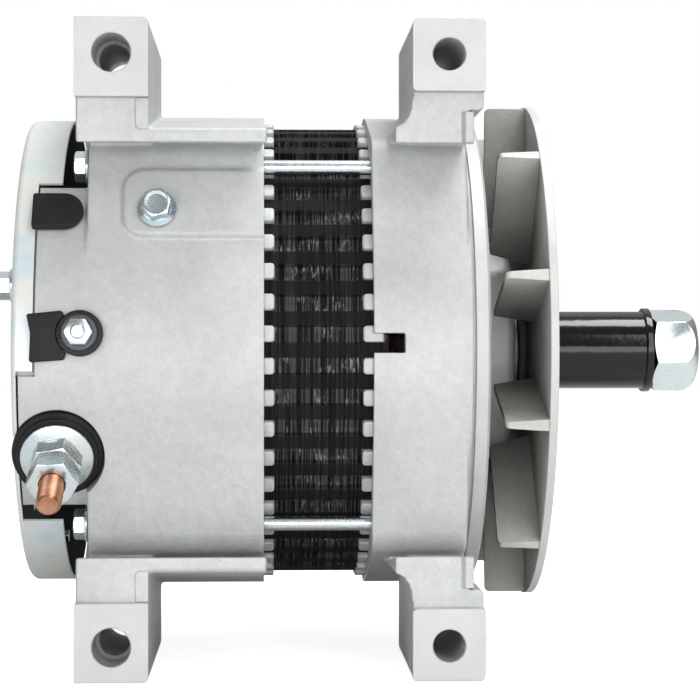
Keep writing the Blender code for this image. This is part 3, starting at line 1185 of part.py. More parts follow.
def make_rear_cover():
    """Pressed cup with its skirt cut back round the crown, and air slots in its back."""
    name = "rear_cover"
    skirt_edge = COVER_BACK + COVER_SKIRT
    inner = COVER_RADIUS - COVER_SHEET
    outer_corner = arc(COVER_CORNER, math.pi, math.pi / 2, CORNER_STEPS - 1,
                       (COVER_BACK + COVER_CORNER, COVER_RADIUS - COVER_CORNER))
    inner_corner = arc(COVER_CORNER - COVER_SHEET, math.pi / 2, math.pi, CORNER_STEPS - 1,
                       (COVER_BACK + COVER_CORNER, COVER_RADIUS - COVER_CORNER))
    body = turned(name, [(COVER_BACK, 0.0)] + outer_corner
                  + [(skirt_edge, COVER_RADIUS), (skirt_edge, inner)] + inner_corner
                  + [(COVER_BACK + COVER_SHEET, 0.0)], LARGE_STEPS)
    reach_in = COVER_RADIUS - COVER_CORNER * 2
    reach_out = COVER_RADIUS + OVERRUN
    crown_gap = clock_sector(reach_in, reach_out, -COVER_GAP_HALF_ANGLE, COVER_GAP_HALF_ANGLE,
                             SECTOR_STEPS)
    cut(body, prism(f"{name}_crown_gap", [crown_gap], COVER_BACK + COVER_SKIRT_SHORT,
                    skirt_edge + OVERRUN, section_frame()))
    terminal_gap = clock_sector(reach_in, reach_out + OVERRUN, COVER_TERMINAL_BOTTOM,
                                COVER_TERMINAL_TOP, SECTOR_STEPS)
    cut(body, prism(f"{name}_terminal_gap", [terminal_gap], COVER_BACK + COVER_SKIRT_TERMINAL,
                    skirt_edge, section_frame()))
    for index in range(COVER_SLOT_COUNT):
        slot = rounded_rectangle((-COVER_SLOT_WIDTH / 2, COVER_SLOT_INNER),
                                 (COVER_SLOT_WIDTH / 2, COVER_SLOT_OUTER), COVER_SLOT_WIDTH / 4, 1)
        turn = Matrix.Rotation(math.tau * (index + 0.5) / COVER_SLOT_COUNT, 4, "X")
        cut(body, prism(f"{name}_slot_{index}", [slot], COVER_BACK - OVERRUN,
                        COVER_BACK + OVERRUN, turn @ section_frame()))
    for index in range(COVER_SCREW_COUNT):
        y, z = on_circle(COVER_SCREW_CIRCLE, COVER_SCREW_CLOCK + math.tau * index / COVER_SCREW_COUNT)
        cut(body, bore(f"{name}_screw_hole_{index}", COVER_SCREW_RADIUS, COVER_BACK - OVERRUN,
                       COVER_BACK + OVERRUN, about_shaft(0.0, y, z), TINY_STEPS))
    cut(body, bore(f"{name}_insulator_relief", INSULATOR_RADIUS, OUTPUT_SEAT_RADIUS - OVERRUN * 2,
                   CASE_RADIUS + OVERRUN, radial(OUTPUT_CLOCK, OUTPUT_STATION), MEDIUM_STEPS))
    return finish(body, "zinc_steel")


# Electrical parts under the cover

def make_rectifier():
    """Two heat-sink plates with three diodes each; the positive one lies on an insulating sheet."""
    wall = BOSS_FACE - SEAT_GAP
    sheet_outline = clock_sector(PLATE_INNER_RADIUS, PLATE_OUTER_RADIUS,
                                 POSITIVE_PLATE_CLOCK - PLATE_SPAN / 2,
                                 POSITIVE_PLATE_CLOCK + PLATE_SPAN / 2, SECTOR_STEPS)
    finish(prism("rectifier_insulator", [sheet_outline], wall - SHEET_THICKNESS, wall, section_frame()),
           "black_plastic")
    plates = (("negative", NEGATIVE_PLATE_CLOCK, wall),
              ("positive", POSITIVE_PLATE_CLOCK, wall - SHEET_THICKNESS - SEAT_GAP))
    for pole, clock, front in plates:
        outline = clock_sector(PLATE_INNER_RADIUS + SINK, PLATE_OUTER_RADIUS - SINK,
                               clock - PLATE_SPAN / 2, clock + PLATE_SPAN / 2, SECTOR_STEPS)
        back = front - PLATE_THICKNESS
        finish(prism(f"rectifier_{pole}_plate", [outline], back, front, section_frame()),
               "cast_aluminium")
        for index in range(DIODE_COUNT):
            share = (index + 0.5) / DIODE_COUNT - 0.5
            y, z = on_circle((PLATE_INNER_RADIUS + PLATE_OUTER_RADIUS) / 2, clock + PLATE_SPAN * share)
            name = f"{pole}_diode_{index + 1}"
            frame = about_shaft(0.0, y, z)
            top = back - SEAT_GAP
            body = cone(name, DIODE_RADIUS * DIODE_TAPER_SHARE, DIODE_RADIUS, top - DIODE_HEIGHT, top,
                        frame, TINY_STEPS)
            join(body, rod(f"{name}_pin", DIODE_PIN_RADIUS, top - DIODE_HEIGHT - DIODE_PIN_LENGTH,
                           top - DIODE_HEIGHT / 2, frame, TINY_STEPS))
            finish(body, "zinc_steel")


def make_brush_gear():
    """Brush holder over the slip rings with its two brushes, and the regulator on top."""
    inner_ring, outer_ring = ring_stations()
    frame = radial(math.pi / 2, 0.0)
    foot = RING_RADIUS + BRUSH_HOLDER_LIFT
    top = foot + BRUSH_HOLDER_HEIGHT
    holder_front = BOSS_FACE - SEAT_GAP
    holder_back = outer_ring - BRUSH_HOLDER_WALL / 2
    half = BRUSH_DEPTH / 2 + BRUSH_HOLDER_WALL + SEAT_GAP
    holder = block("brush_holder", (holder_back, -half, foot), (holder_front, half, top), frame)
    for name, ring in (("brush_inner", inner_ring), ("brush_outer", outer_ring)):
        middle = ring + RING_WIDTH / 2
        low = RING_RADIUS + SEAT_GAP
        brush = block(name, (middle - BRUSH_WIDTH / 2, -BRUSH_DEPTH / 2, low),
                      (middle + BRUSH_WIDTH / 2, BRUSH_DEPTH / 2, low + BRUSH_LENGTH), frame)
        cut(holder, block(f"{name}_pocket",
                          (middle - BRUSH_WIDTH / 2 - SEAT_GAP, -BRUSH_DEPTH / 2 - SEAT_GAP, foot - OVERRUN),
                          (middle + BRUSH_WIDTH / 2 + SEAT_GAP, BRUSH_DEPTH / 2 + SEAT_GAP,
                           low + BRUSH_LENGTH + SEAT_GAP), frame))
        finish(brush, "carbon")
    finish(holder, "black_plastic")
    regulator_low = top + SEAT_GAP
    regulator_high = regulator_low + REGULATOR_HEIGHT
    width = REGULATOR_WIDTH / 2
    regulator = block("voltage_regulator", (holder_back, -width, regulator_low),
                      (holder_front, width, regulator_high), frame)
    pitch = REGULATOR_WIDTH / REGULATOR_FIN_COUNT
    for index in range(REGULATOR_FIN_COUNT):
        middle = -width + pitch * (index + 0.5)
        join(regulator, block(f"voltage_regulator_fin_{index}",
                              (holder_back + SINK, middle - pitch / 5, regulator_high - SINK),
                              (holder_front - SINK, middle + pitch / 5,
                               regulator_high + REGULATOR_FIN_HEIGHT), frame))
    finish(regulator, "cast_aluminium")


# Terminals, strap, plug and pad bolt

def make_output_terminal():
    """Copper stud through its insulator, with a flange nut and a lock nut."""
    frame = radial(OUTPUT_CLOCK, OUTPUT_STATION)
    hole = bore_radius(OUTPUT_STUD_RADIUS)
    ring_low = OUTPUT_SEAT_RADIUS + SEAT_GAP
    ring_high = ring_low + INSULATOR_THICKNESS
    insulator = turned("output_insulator", [
        (ring_low, hole),
        (ring_low, INSULATOR_RADIUS),
        (ring_high - RIM_CHAMFER, INSULATOR_RADIUS),
        (ring_high, INSULATOR_RADIUS - RIM_CHAMFER),
        (ring_high, hole),
    ], MEDIUM_STEPS, frame)
    finish(insulator, "black_rubber")
    flange_low = ring_high + SEAT_GAP
    flange_high = flange_low + FLANGE_NUT_HEIGHT
    flange_nut = rod("output_flange_nut", FLANGE_NUT_RADIUS, flange_low, flange_low + FLANGE_NUT_RIM,
                     frame, MEDIUM_STEPS)
    join(flange_nut, hexagon("output_flange_nut_body", FLANGE_NUT_FLATS, flange_low + FLANGE_NUT_RIM / 2,
                             flange_high, frame, FLANGE_NUT_TURN))
    cut(flange_nut, bore("output_flange_nut_hole", OUTPUT_STUD_RADIUS, flange_low - OVERRUN,
                         flange_high + OVERRUN, frame))
    finish(flange_nut, "zinc_steel")
    lock_low = flange_high + SEAT_GAP
    lock_high = lock_low + LOCK_NUT_HEIGHT
    lock_nut = hexagon("output_lock_nut", LOCK_NUT_FLATS, lock_low, lock_high, frame, LOCK_NUT_TURN)
    cut(lock_nut, bore("output_lock_nut_hole", OUTPUT_STUD_RADIUS, lock_low - OVERRUN,
                       lock_high + OVERRUN, frame))
    finish(lock_nut, "zinc_steel")
    head_high = CROWN_INNER_RADIUS * math.cos(OUTPUT_STUD_HEAD / CROWN_INNER_RADIUS) - SEAT_GAP * 2
    finish(turned("output_stud", [
        (head_high - OUTPUT_STUD_HEAD_HEIGHT, 0.0),
        (head_high - OUTPUT_STUD_HEAD_HEIGHT, OUTPUT_STUD_HEAD),
        (head_high, OUTPUT_STUD_HEAD),
        (head_high, OUTPUT_STUD_RADIUS),
        (OUTPUT_STUD_TIP - SHAFT_CHAMFER / 2, OUTPUT_STUD_RADIUS),
        (OUTPUT_STUD_TIP, OUTPUT_STUD_RADIUS - SHAFT_CHAMFER / 2),
        (OUTPUT_STUD_TIP, 0.0),
    ], SMALL_STEPS, frame), "bare_copper")


def relay_frame():
    """The small terminal stands square to the case, a little above its middle."""
    return radial(math.asin(RELAY_HEIGHT / CASE_RADIUS), RELAY_STATION)


def make_relay_terminal():
    """Small terminal: insulator, lead strap with its eye, stud and nut."""
    frame = relay_frame()
    hole = bore_radius(RELAY_STUD_RADIUS)
    base_low = CASE_RADIUS + SEAT_GAP
    base_high = base_low + RELAY_BASE_THICKNESS
    finish(turned("relay_insulator", [(base_low, hole), (base_low, RELAY_BASE_RADIUS),
                                      (base_high, RELAY_BASE_RADIUS), (base_high, hole)],
                  MEDIUM_STEPS, frame), "black_plastic")
    eye_low = base_high + SEAT_GAP
    eye_high = eye_low + EYE_THICKNESS
    strap = strap_sheet("lead_strap", base_low, eye_high, frame)
    cut(strap, bore("lead_strap_relief", RELAY_BASE_RADIUS, base_low - OVERRUN, eye_low, frame,
                    MEDIUM_STEPS))
    cut(strap, bore("lead_strap_hole", RELAY_STUD_RADIUS, base_low - OVERRUN, eye_high + OVERRUN, frame,
                    TINY_STEPS))
    finish(strap, "black_rubber")
    nut_low = eye_high + SEAT_GAP
    nut_high = nut_low + RELAY_NUT_HEIGHT
    nut = hexagon("relay_nut", RELAY_NUT_FLATS, nut_low, nut_high, frame)
    cut(nut, bore("relay_nut_hole", RELAY_STUD_RADIUS, nut_low - OVERRUN, nut_high + OVERRUN, frame,
                  TINY_STEPS))
    finish(nut, "zinc_steel")
    finish(rod("relay_stud", RELAY_STUD_RADIUS, CASE_RADIUS - RELAY_STUD_DEPTH + SEAT_GAP,
               nut_high + SHAFT_CHAMFER, frame, TINY_STEPS), "zinc_steel")


def strap_sheet(name, low, high, frame):
    """The strap's pad beside the terminal, with a tongue and an eye over the insulator."""
    right = -STRAP_SETBACK + RELAY_SETBACK
    left = right - STRAP_LENGTH
    middle = -RELAY_HEIGHT + STRAP_HEIGHT
    pad = rounded_rectangle((left, middle - STRAP_WIDTH / 2), (right, middle + STRAP_WIDTH / 2),
                            STRAP_CORNER, 2)
    body = prism(name, [pad], low, low + STRAP_THICKNESS, frame)
    eye_low = high - EYE_THICKNESS
    tongue = block(f"{name}_tongue",
                   (left + STRAP_LENGTH / 2, -EYE_BRIDGE_WIDTH / 2, low + STRAP_THICKNESS / 2),
                   (-RELAY_STUD_RADIUS * 2, EYE_BRIDGE_WIDTH / 2, high - EYE_THICKNESS / 4), frame)
    join(body, tongue)
    join(body, rod(f"{name}_eye", RELAY_EYE_RADIUS, eye_low, high, frame, MEDIUM_STEPS))
    return body


def plug_frame():
    return radial(PLUG_CLOCK, CROWN_BACK + SPIGOT_DEPTH + PLUG_SETBACK)


def plug_outline(grow):
    """The rubber plug's outline: square behind, round towards the stator."""
    half = PLUG_HALF_HEIGHT + grow
    round_centre = PLUG_LENGTH - PLUG_HALF_HEIGHT
    nose = arc(half, -math.pi / 2, math.pi / 2, CORNER_STEPS * 2, (round_centre, 0.0))
    return nose + [(-grow, half), (-grow, -half)]


def make_rubber_plug():
    """Rubber plug: a flange on the crown and a stem in its pocket."""
    frame = plug_frame()
    low = CASE_RADIUS + SEAT_GAP
    body = prism("rubber_plug", [plug_outline(0.0)], low, low + PLUG_PROUD, frame)
    join(body, prism("rubber_plug_stem", [plug_outline(-PLUG_FLANGE - SEAT_GAP)],
                     CASE_RADIUS - PLUG_STEM_DEPTH, low + PLUG_PROUD / 2, frame))
    finish(body, "black_rubber")


def pad_bolt_frame():
    return radial(FLAT_CLOCK, PAD_BOLT_STATION) @ Matrix.Translation((0.0, PAD_BOLT_RISE, 0.0))


def make_pad_bolt():
    """Flange bolt on the raised pad, which holds the rectifier from outside."""
    frame = pad_bolt_frame()
    seat = CASE_RADIUS + BOLT_PAD_PROUD + SEAT_GAP
    head_low = seat + PAD_BOLT_FLANGE
    body = rod("rectifier_bolt", PAD_BOLT_RADIUS, seat - PAD_BOLT_DEPTH, head_low + SINK / 2, frame,
               TINY_STEPS)
    join(body, rod("rectifier_bolt_flange", PAD_BOLT_FLANGE_RADIUS, seat, head_low, frame, SMALL_STEPS))
    join(body, hexagon("rectifier_bolt_head", PAD_BOLT_FLATS, head_low - SINK / 4, head_low + PAD_BOLT_HEAD,
                       frame, PAD_BOLT_TURN))
    finish(body, "zinc_steel")


make_front_frame()
make_rear_frame()
make_stator_core()
make_stator_winding()
make_rotor_poles()
make_field_coil()
make_rotor_shaft()
make_slip_rings()
make_bearings()
make_bearing_retainer()
make_fan()
make_clamped_parts()
make_through_bolts()
make_cover_screws()
make_rear_cover()
make_rectifier()
make_brush_gear()
make_output_terminal()
make_relay_terminal()
make_rubber_plug()
make_pad_bolt()
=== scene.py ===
from math import acos, asin, atan2, cos, hypot, pi, radians, sin, tan, tau

import bmesh
import bpy
from mathutils import Matrix, Vector

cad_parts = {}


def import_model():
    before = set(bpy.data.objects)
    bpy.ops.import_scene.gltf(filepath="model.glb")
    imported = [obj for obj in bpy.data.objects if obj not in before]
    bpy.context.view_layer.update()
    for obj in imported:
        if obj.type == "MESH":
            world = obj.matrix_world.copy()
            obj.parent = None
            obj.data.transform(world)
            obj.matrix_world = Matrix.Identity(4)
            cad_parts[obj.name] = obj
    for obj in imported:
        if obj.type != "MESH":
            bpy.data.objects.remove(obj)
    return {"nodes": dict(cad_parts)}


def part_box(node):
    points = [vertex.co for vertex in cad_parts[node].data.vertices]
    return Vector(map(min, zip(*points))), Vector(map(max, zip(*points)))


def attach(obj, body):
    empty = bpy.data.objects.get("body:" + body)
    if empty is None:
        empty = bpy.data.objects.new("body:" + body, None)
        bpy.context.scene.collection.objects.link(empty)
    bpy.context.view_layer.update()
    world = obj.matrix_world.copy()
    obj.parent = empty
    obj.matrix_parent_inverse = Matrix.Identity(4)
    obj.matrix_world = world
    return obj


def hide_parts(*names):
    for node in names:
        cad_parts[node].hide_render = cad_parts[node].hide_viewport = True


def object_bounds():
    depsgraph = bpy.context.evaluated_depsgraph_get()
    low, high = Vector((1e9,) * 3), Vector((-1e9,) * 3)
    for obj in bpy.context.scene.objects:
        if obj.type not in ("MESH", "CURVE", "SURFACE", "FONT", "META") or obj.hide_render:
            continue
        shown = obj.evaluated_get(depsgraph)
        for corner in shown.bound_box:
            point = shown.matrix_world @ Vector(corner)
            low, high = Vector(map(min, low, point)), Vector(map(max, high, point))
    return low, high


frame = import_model()
CAD_LOW, CAD_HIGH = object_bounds()

# Fineness of the visible forms
ROUND = 192
FINE = 96
SMALL = 48
ARC = 6
CAST_GRAIN = 0.0008
CAST_PASSES = 3
CAST_KEPT = 0.3
SHARP = radians(32.0)
RAW = 0.0012
REACH = 0.0040
SINK = 0.0010
NEARLY_ZERO = 1e-7
CLEAR = 0.0003
OUTSIDE = 0.13
CAST_EDGE = 0.0012
RIM = 0.0005
SHADER_SAMPLES = 6

# Stations along the shaft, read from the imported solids
FRONT_LOW, FRONT_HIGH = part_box("front_frame")
REAR_LOW, REAR_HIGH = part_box("rear_frame")
FRONT_SEAM = FRONT_LOW.x
HUB_FRONT = FRONT_HIGH.x
REAR_SEAM = REAR_HIGH.x
CROWN_BACK = REAR_LOW.x
FRONT_RIM = FRONT_SEAM + 0.0472
BOSS_FACE = REAR_SEAM - 0.0709
REGISTER_DEPTH = 0.0060
FRONT_WALL = 0.0072
REAR_WALL = 0.0070
COVER_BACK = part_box("rear_cover")[0].x
FAN_LOW, FAN_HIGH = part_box("fan")
SLEEVE_LOW, SLEEVE_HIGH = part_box("shaft_sleeve")
NUT_LOW, NUT_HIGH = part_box("shaft_nut")

# Case
CASE_RADIUS = 0.1024
CASE_INNER = 0.0945
REGISTER_RADIUS = 0.0982
RIM_RADIUS = 0.1002
RIM_LENGTH = 0.0060
RIM_CHAMFER = 0.0012
GROOVE_WIDTH = 0.0016
GROOVE_FLOOR = 0.0988
HUB_RADIUS = 0.0480
HUB_CORNER = 0.0042
HUB_FILLET = 0.0030
WALL_DISH = 0.0016
SEAL_BORE = 0.0320
SEAT_LIP = 0.0022
FRONT_BEARING_SEAT = 0.0363
REAR_HUB_RADIUS = 0.0280
REAR_HUB_LENGTH = 0.0090
REAR_BEARING_SEAT = 0.0203
REAR_SHAFT_HOLE = 0.0160
WINDOW_COUNT = 8
FRONT_WINDOW = (0.0580, 0.0850, 0.66)
REAR_WINDOW = (0.0360, 0.0760, 0.62)
NOTCH_LENGTH = 0.0125
NOTCH_HEIGHT = 0.0080
NOTCH_CORNER = 0.0008
NOTCH_CLOCK = radians(1.6)

# Through bolts and lobes
BOLT_CIRCLE = 0.1035
BOLT_CLOCKS = [radians(46.6 + 90.0 * quarter) for quarter in range(4)]
BOLT_RADIUS = 0.0030
BOLT_END = 0.0240
BOLT_HEAD = 0.0046
BOLT_FLATS = 0.0111
BOLT_WASHER_RADIUS = 0.0075
WASHER = 0.0015
LOBE_RADIUS = 0.0125
LOBE_ROOT = CASE_RADIUS - 0.0124
LOBE_LEAN = acos((CASE_RADIUS - LOBE_RADIUS) / BOLT_CIRCLE)
FLAT_CLOCK = BOLT_CLOCKS[0] - LOBE_LEAN
FRONT_LOBE_LENGTH = 0.0388
LOBE_PROUD = 0.00025

# Ears
PAD_PLANE = -0.1210
PAD_PROUD = 0.0050
NECK_PLANE = PAD_PLANE + PAD_PROUD
SKIN = 0.0002
EAR_TOP = CAD_HIGH.z
EAR_HOLE = EAR_TOP - 0.0138
EAR_CORNER = 0.0030
BORE_CHAMFER = 0.0004
FACE_REACH = 0.02
FACE_SPAN = (0.07, 0.15)
REAR_EAR_X = (REAR_SEAM - 0.0738, REAR_SEAM - 0.0450)
REAR_EAR_BACK = 0.0040
REAR_EAR_BORE = 0.0076
REAR_BORE_STEPS = ((0.035, 0.0105), (0.035, REAR_EAR_BORE), (0.072, REAR_EAR_BORE), (0.072, 0.0063),
                   (0.097, 0.0063), (0.0985, REAR_EAR_BORE))
REAR_PAD_HEIGHT = 0.0308
PATCH_WIDTH = 0.0052
PATCH_LOW = 0.0864
PATCH_PROUD = 0.0004
FRONT_EAR_X = (FRONT_SEAM + 0.0142, FRONT_SEAM + 0.0427)
FRONT_EAR_BACK = 0.0240
FRONT_EAR_BORE = 0.0064
FRONT_PAD_HEIGHT = 0.0282
FRONT_NECK_WIDTH = 0.0219
LEDGE_FOLD = 0.0812
FRONT_HEAD_HEIGHT = 0.0353
HEAD_CORNER = 0.0020
NECK_OVERLAP = 0.002
SHELF_TOP = 0.0880
SHELF_SLOPE = 0.0032
FLARE = 0.0066
FLARE_SPREAD = 0.0010
FLARE_DEPTH = 0.0560
FLARE_RISE = 1.6
FLARE_SLOPE = 0.13
FLARE_STEPS = 8
RIB_WIDTH = 0.0032
RIB_STANDOUT = 0.0022
RIB_LOW = LEDGE_FOLD + SKIN
RIB_HIGH = 0.0935
RIB_PROUD = 0.0022
LEDGE_HALF = 0.0870
LEDGE_ROOT = 0.004
LEDGE_CORNER = 0.0016
LEDGE_FOOT = (0.4, 0.92)
EAR_FOOT = (0.3, 0.84)
NECK_FOOT = (0.5, 0.9)

# Crown, raised pad, plug
CROWN_CLOCKS = (radians(-38.2), radians(40.5))
CROWN_INNER = 0.0900
SPIGOT_RADIUS = 0.0991
SPIGOT_DEPTH = 0.0057
SPIGOT_CLEAR = 0.12
CROWN_STEP = 0.0083
CROWN_STEP_CLOCK = radians(-5.9)
CROWN_STEP_DEPTH = 0.0016
PAD_LENGTH = 0.0568
PAD_LOW = 0.0163
PAD_HIGH = 0.0450
PAD_CORNER = 0.0085
PAD_RISE = 0.0020
PAD_BOLT_RISE = 0.0275
PLUG_CLOCK = radians(32.4)
PLUG_LENGTH = 0.0205
PLUG_HALF = 0.0082
PLUG_PROUD = 0.0032
PLUG_CORNER = 0.0010
POCKET_INSET = 0.002
POCKET_DEPTH = 0.0063

# Stator
STATOR_RADIUS = 0.0975
VALLEY_RADIUS = 0.0947
SLOT_COUNT = 48
STATOR_RIB = 0.0060
FINGER_LENGTH = 0.0042
FINGER_HALF = 0.0033
FINGER_TOP = 0.0996
FINGER_CORNER = 0.0014
FINGER_EDGE = 0.0006
RIB_ROOT = 1.06
RIB_EDGE = 0.0003
RIB_TOP = (-0.9, 0.0, 0.9)
STATOR_BORE = 0.0705
STATOR_SLOT = (0.0690, 0.0865)
SLOT_HALF = 0.0024

# Cover
COVER_CUT = 0.006
CROWN_GAP = radians(42.6)
CROWN_GAP_FLOOR = 0.0088
TERMINAL_GAP = (radians(-44.1), radians(-4.9))
TERMINAL_GAP_FLOOR = 0.0021
COVER_SLOTS = 12
COVER_SLOT = (0.040, 0.072)
COVER_SLOT_HALF = 0.003
COVER_SLOT_CORNER = 0.0028
COVER_RELIEF = 0.0188

# Terminals, hexagons and threads
OUTPUT_CLOCK = radians(-24.2)
OUTPUT_SEAT = 0.0990
OUTPUT_SEAT_RADIUS = 0.019
STUD_END = 0.1453
HEX_FACE = 0.955
HEX_CLEAR = 1.02
HEX_WIDE = 1.1
HEX_SLOPE = 0.5
THREAD_ROWS = 8
THREAD_DEPTH = 0.55
THREAD_FLANK = 1.25
THREAD_CREST = 0.12
THREAD_TIP = 0.4

# Fan and shaft nut
BLADE_COUNT = 11
BLADE_THIN = 0.0026
BLADE_TAPER = 0.0024
SHAFT_HOLE = 0.0114
NUT_FLATS = 0.03175
NUT_TURN = radians(-12.0)
NUT_CROWN = 0.0090
NUT_TIP = 0.0118
NUT_STEPS = 16


def shaft_at(x=0.0, y=0.0, z=0.0):
    """Local Z runs along the shaft."""
    return Matrix.Translation((x, y, z)) @ Matrix.Rotation(pi / 2, 4, "Y")


def radial(clock, x):
    """Local Z points out from the shaft, local X along it, local Y round it."""
    outward = Vector((0.0, -cos(clock), sin(clock)))
    around = Vector((0.0, sin(clock), cos(clock)))
    turned = Matrix((Vector((1.0, 0.0, 0.0)), around, outward)).transposed().to_4x4()
    turned.translation = Vector((x, 0.0, 0.0))
    return turned


SHAFT = shaft_at()
SECTION = Matrix(((0, 0, 1, 0), (1, 0, 0, 0), (0, 1, 0, 0), (0, 0, 0, 1)))
FACING = Matrix(((1, 0, 0, 0), (0, 0, 1, 0), (0, 1, 0, 0), (0, 0, 0, 1)))
OUTPUT = radial(OUTPUT_CLOCK, BOSS_FACE - 0.0117)
RELAY = radial(asin(0.0065 / CASE_RADIUS), BOSS_FACE - 0.0020)
PLUG = radial(PLUG_CLOCK, CROWN_BACK + SPIGOT_DEPTH + CLEAR)
PAD_BOLT = radial(FLAT_CLOCK, BOSS_FACE + 0.0280) @ Matrix.Translation((0.0, PAD_BOLT_RISE, 0.0))


def on_circle(radius, clock):
    """World Y and Z of a point on a circle round the shaft."""
    return -radius * cos(clock), radius * sin(clock)


# Outlines

def rounded(points, steps=ARC, closed=True):
    """Corners (u, v) or (u, v, radius), with each corner that has a radius drawn as an arc."""
    drawn = []
    count = len(points)
    for index, (u, v, *radius) in enumerate(points):
        if not radius or not closed and index in (0, count - 1):
            drawn.append((u, v))
            continue
        here = Vector((u, v))
        back = Vector(points[index - 1][:2]) - here
        ahead = Vector(points[(index + 1) % count][:2]) - here
        half = back.angle(ahead) / 2
        reach = min(radius[0] / tan(half), back.length * 0.49, ahead.length * 0.49)
        inner = reach * tan(half)
        back.normalize()
        ahead.normalize()
        centre = here + (back + ahead).normalized() * (inner / sin(half))
        first = here + back * reach - centre
        last = here + ahead * reach - centre
        sweep = first.angle(last)
        if first.x * last.y - first.y * last.x < 0:
            sweep = -sweep
        for step in range(steps + 1):
            turn = sweep * step / steps
            drawn.append((centre.x + first.x * cos(turn) - first.y * sin(turn),
                          centre.y + first.x * sin(turn) + first.y * cos(turn)))
    return drawn


def sector(inner, outer, start, end, steps=FINE):
    """A ring's sector between two clock angles, in world Y and Z."""
    shares = [step / steps for step in range(steps + 1)]
    rim = [on_circle(outer, start + (end - start) * share) for share in shares]
    core = [on_circle(inner, start + (end - start) * share) for share in shares]
    return rim + core[::-1]


def box_outline(low, high, corner):
    """A rectangle between two corners, rounded."""
    return rounded([(low[0], low[1], corner), (high[0], low[1], corner),
                    (high[0], high[1], corner), (low[0], high[1], corner)])


def flipped(outline):
    """The same outline below the shaft."""
    return [(u, -v) for u, v in reversed(outline)]


# Meshes

def wrap(name, form, finish=None):
    """Make a form an object of the scene."""
    bmesh.ops.recalc_face_normals(form, faces=form.faces)
    mesh = bpy.data.meshes.new(name)
    form.to_mesh(mesh)
    form.free()
    made = bpy.data.objects.new(name, mesh)
    bpy.context.scene.collection.objects.link(made)
    if finish is not None:
        mesh.materials.append(finish)
    return made


def lathe(name, profile, place=SHAFT, steps=ROUND, finish=None):
    """Turn a profile of (height, radius) points about the place's Z."""
    form = bmesh.new()
    turns = [(cos(tau * k / steps), sin(tau * k / steps)) for k in range(steps)]
    rings = []
    for height, radius in profile:
        if radius < NEARLY_ZERO:
            rings.append([form.verts.new(place @ Vector((0.0, 0.0, height)))])
        else:
            rings.append([form.verts.new(place @ Vector((radius * c, radius * s, height)))
                          for c, s in turns])
    for first, second in zip(rings, rings[1:] + rings[:1]):
        if len(first) == 1 and len(second) == 1:
            continue
        for k in range(steps):
            corners = []
            for ring, spot in ((first, k), (first, k + 1), (second, k + 1), (second, k)):
                corner = ring[spot % len(ring)]
                if corner not in corners:
                    corners.append(corner)
            form.faces.new(corners)
    return wrap(name, form, finish)


def rod(name, low, high, radius, place=SHAFT, finish=None, steps=FINE):
    """A plain round bar, or the cutter of a round hole."""
    return lathe(name, [(low, 0.0), (low, radius), (high, radius), (high, 0.0)], place, steps, finish)


def turned(name, corners, place, steps, finish, arc=4, closed=False):
    """Turn a profile of (height, radius, corner radius)."""
    return lathe(name, rounded(corners, arc, closed), place, steps, finish)


def prism(name, outline, low, high, place=SECTION, edge=0.0, finish=None):
    """Raise an outline between two heights, with its rims rounded where edge is given."""
    form = bmesh.new()
    below = [form.verts.new(place @ Vector((u, v, low))) for u, v in outline]
    above = [form.verts.new(place @ Vector((u, v, high))) for u, v in outline]
    caps = [form.faces.new(below[::-1]), form.faces.new(above)]
    count = len(outline)
    for k in range(count):
        after = (k + 1) % count
        form.faces.new((below[k], below[after], above[after], above[k]))
    bmesh.ops.recalc_face_normals(form, faces=form.faces)
    if edge:
        rims = [rim for cap in caps for rim in cap.edges]
        bmesh.ops.bevel(form, geom=rims, offset=edge, segments=3, profile=0.5, affect="EDGES",
                        clamp_overlap=True)
    return wrap(name, form, finish)


def both_sides(name, outline, low, high, place=SECTION, finish=None):
    """The same prism above the shaft and, mirrored, below it."""
    return [prism(name, flip(outline), low, high, place, 0.0, finish) for flip in (list, flipped)]


def loft(name, first, second):
    """A solid between two loops with the same number of points."""
    form = bmesh.new()
    near, far = [[form.verts.new(point) for point in loop] for loop in (first, second)]
    form.faces.new(near[::-1])
    form.faces.new(far)
    for start in range(len(near)):
        after = (start + 1) % len(near)
        form.faces.new((near[start], near[after], far[after], far[start]))
    return wrap(name, form)


def gather(name, pieces, finish=None):
    """Several separate shells as one tool."""
    form = bmesh.new()
    for piece in pieces:
        form.from_mesh(piece.data)
        discard(piece)
    return wrap(name, form, finish)


def discard(piece):
    """Remove a tool and its mesh."""
    mesh = piece.data
    bpy.data.objects.remove(piece, do_unlink=True)
    bpy.data.meshes.remove(mesh)


def settle(piece):
    """Make a piece's modifiers part of its mesh."""
    graph = bpy.context.evaluated_depsgraph_get()
    mesh = bpy.data.meshes.new_from_object(piece.evaluated_get(graph))
    piece.modifiers.clear()
    old = piece.data
    piece.data = mesh
    bpy.data.meshes.remove(old)
    mesh.name = piece.name
    return piece


def combine(piece, tools, operation):
    """Apply tools to a piece one after another; cut faces take the tool's finish."""
    for tool in tools:
        step = piece.modifiers.new("form", "BOOLEAN")
        step.operation = operation
        step.solver = "MANIFOLD"
        step.material_mode = "TRANSFER"
        step.object = tool
    settle(piece)
    for tool in tools:
        discard(tool)
    return piece


def join(piece, *tools):
    return combine(piece, tools, "UNION")


def cut(piece, *tools):
    return combine(piece, tools, "DIFFERENCE")


def meet(piece, *tools):
    return combine(piece, tools, "INTERSECT")


def soften(piece, grain, passes):
    """Turn a sharp union into one cast skin with soft corners and fillets."""
    skin = piece.modifiers.new("skin", "REMESH")
    skin.mode = "VOXEL"
    skin.voxel_size = grain
    soft = piece.modifiers.new("soft", "SMOOTH")
    soft.factor = 0.5
    soft.iterations = passes
    thinned = piece.modifiers.new("thinned", "DECIMATE")
    thinned.ratio = CAST_KEPT
    return settle(piece)


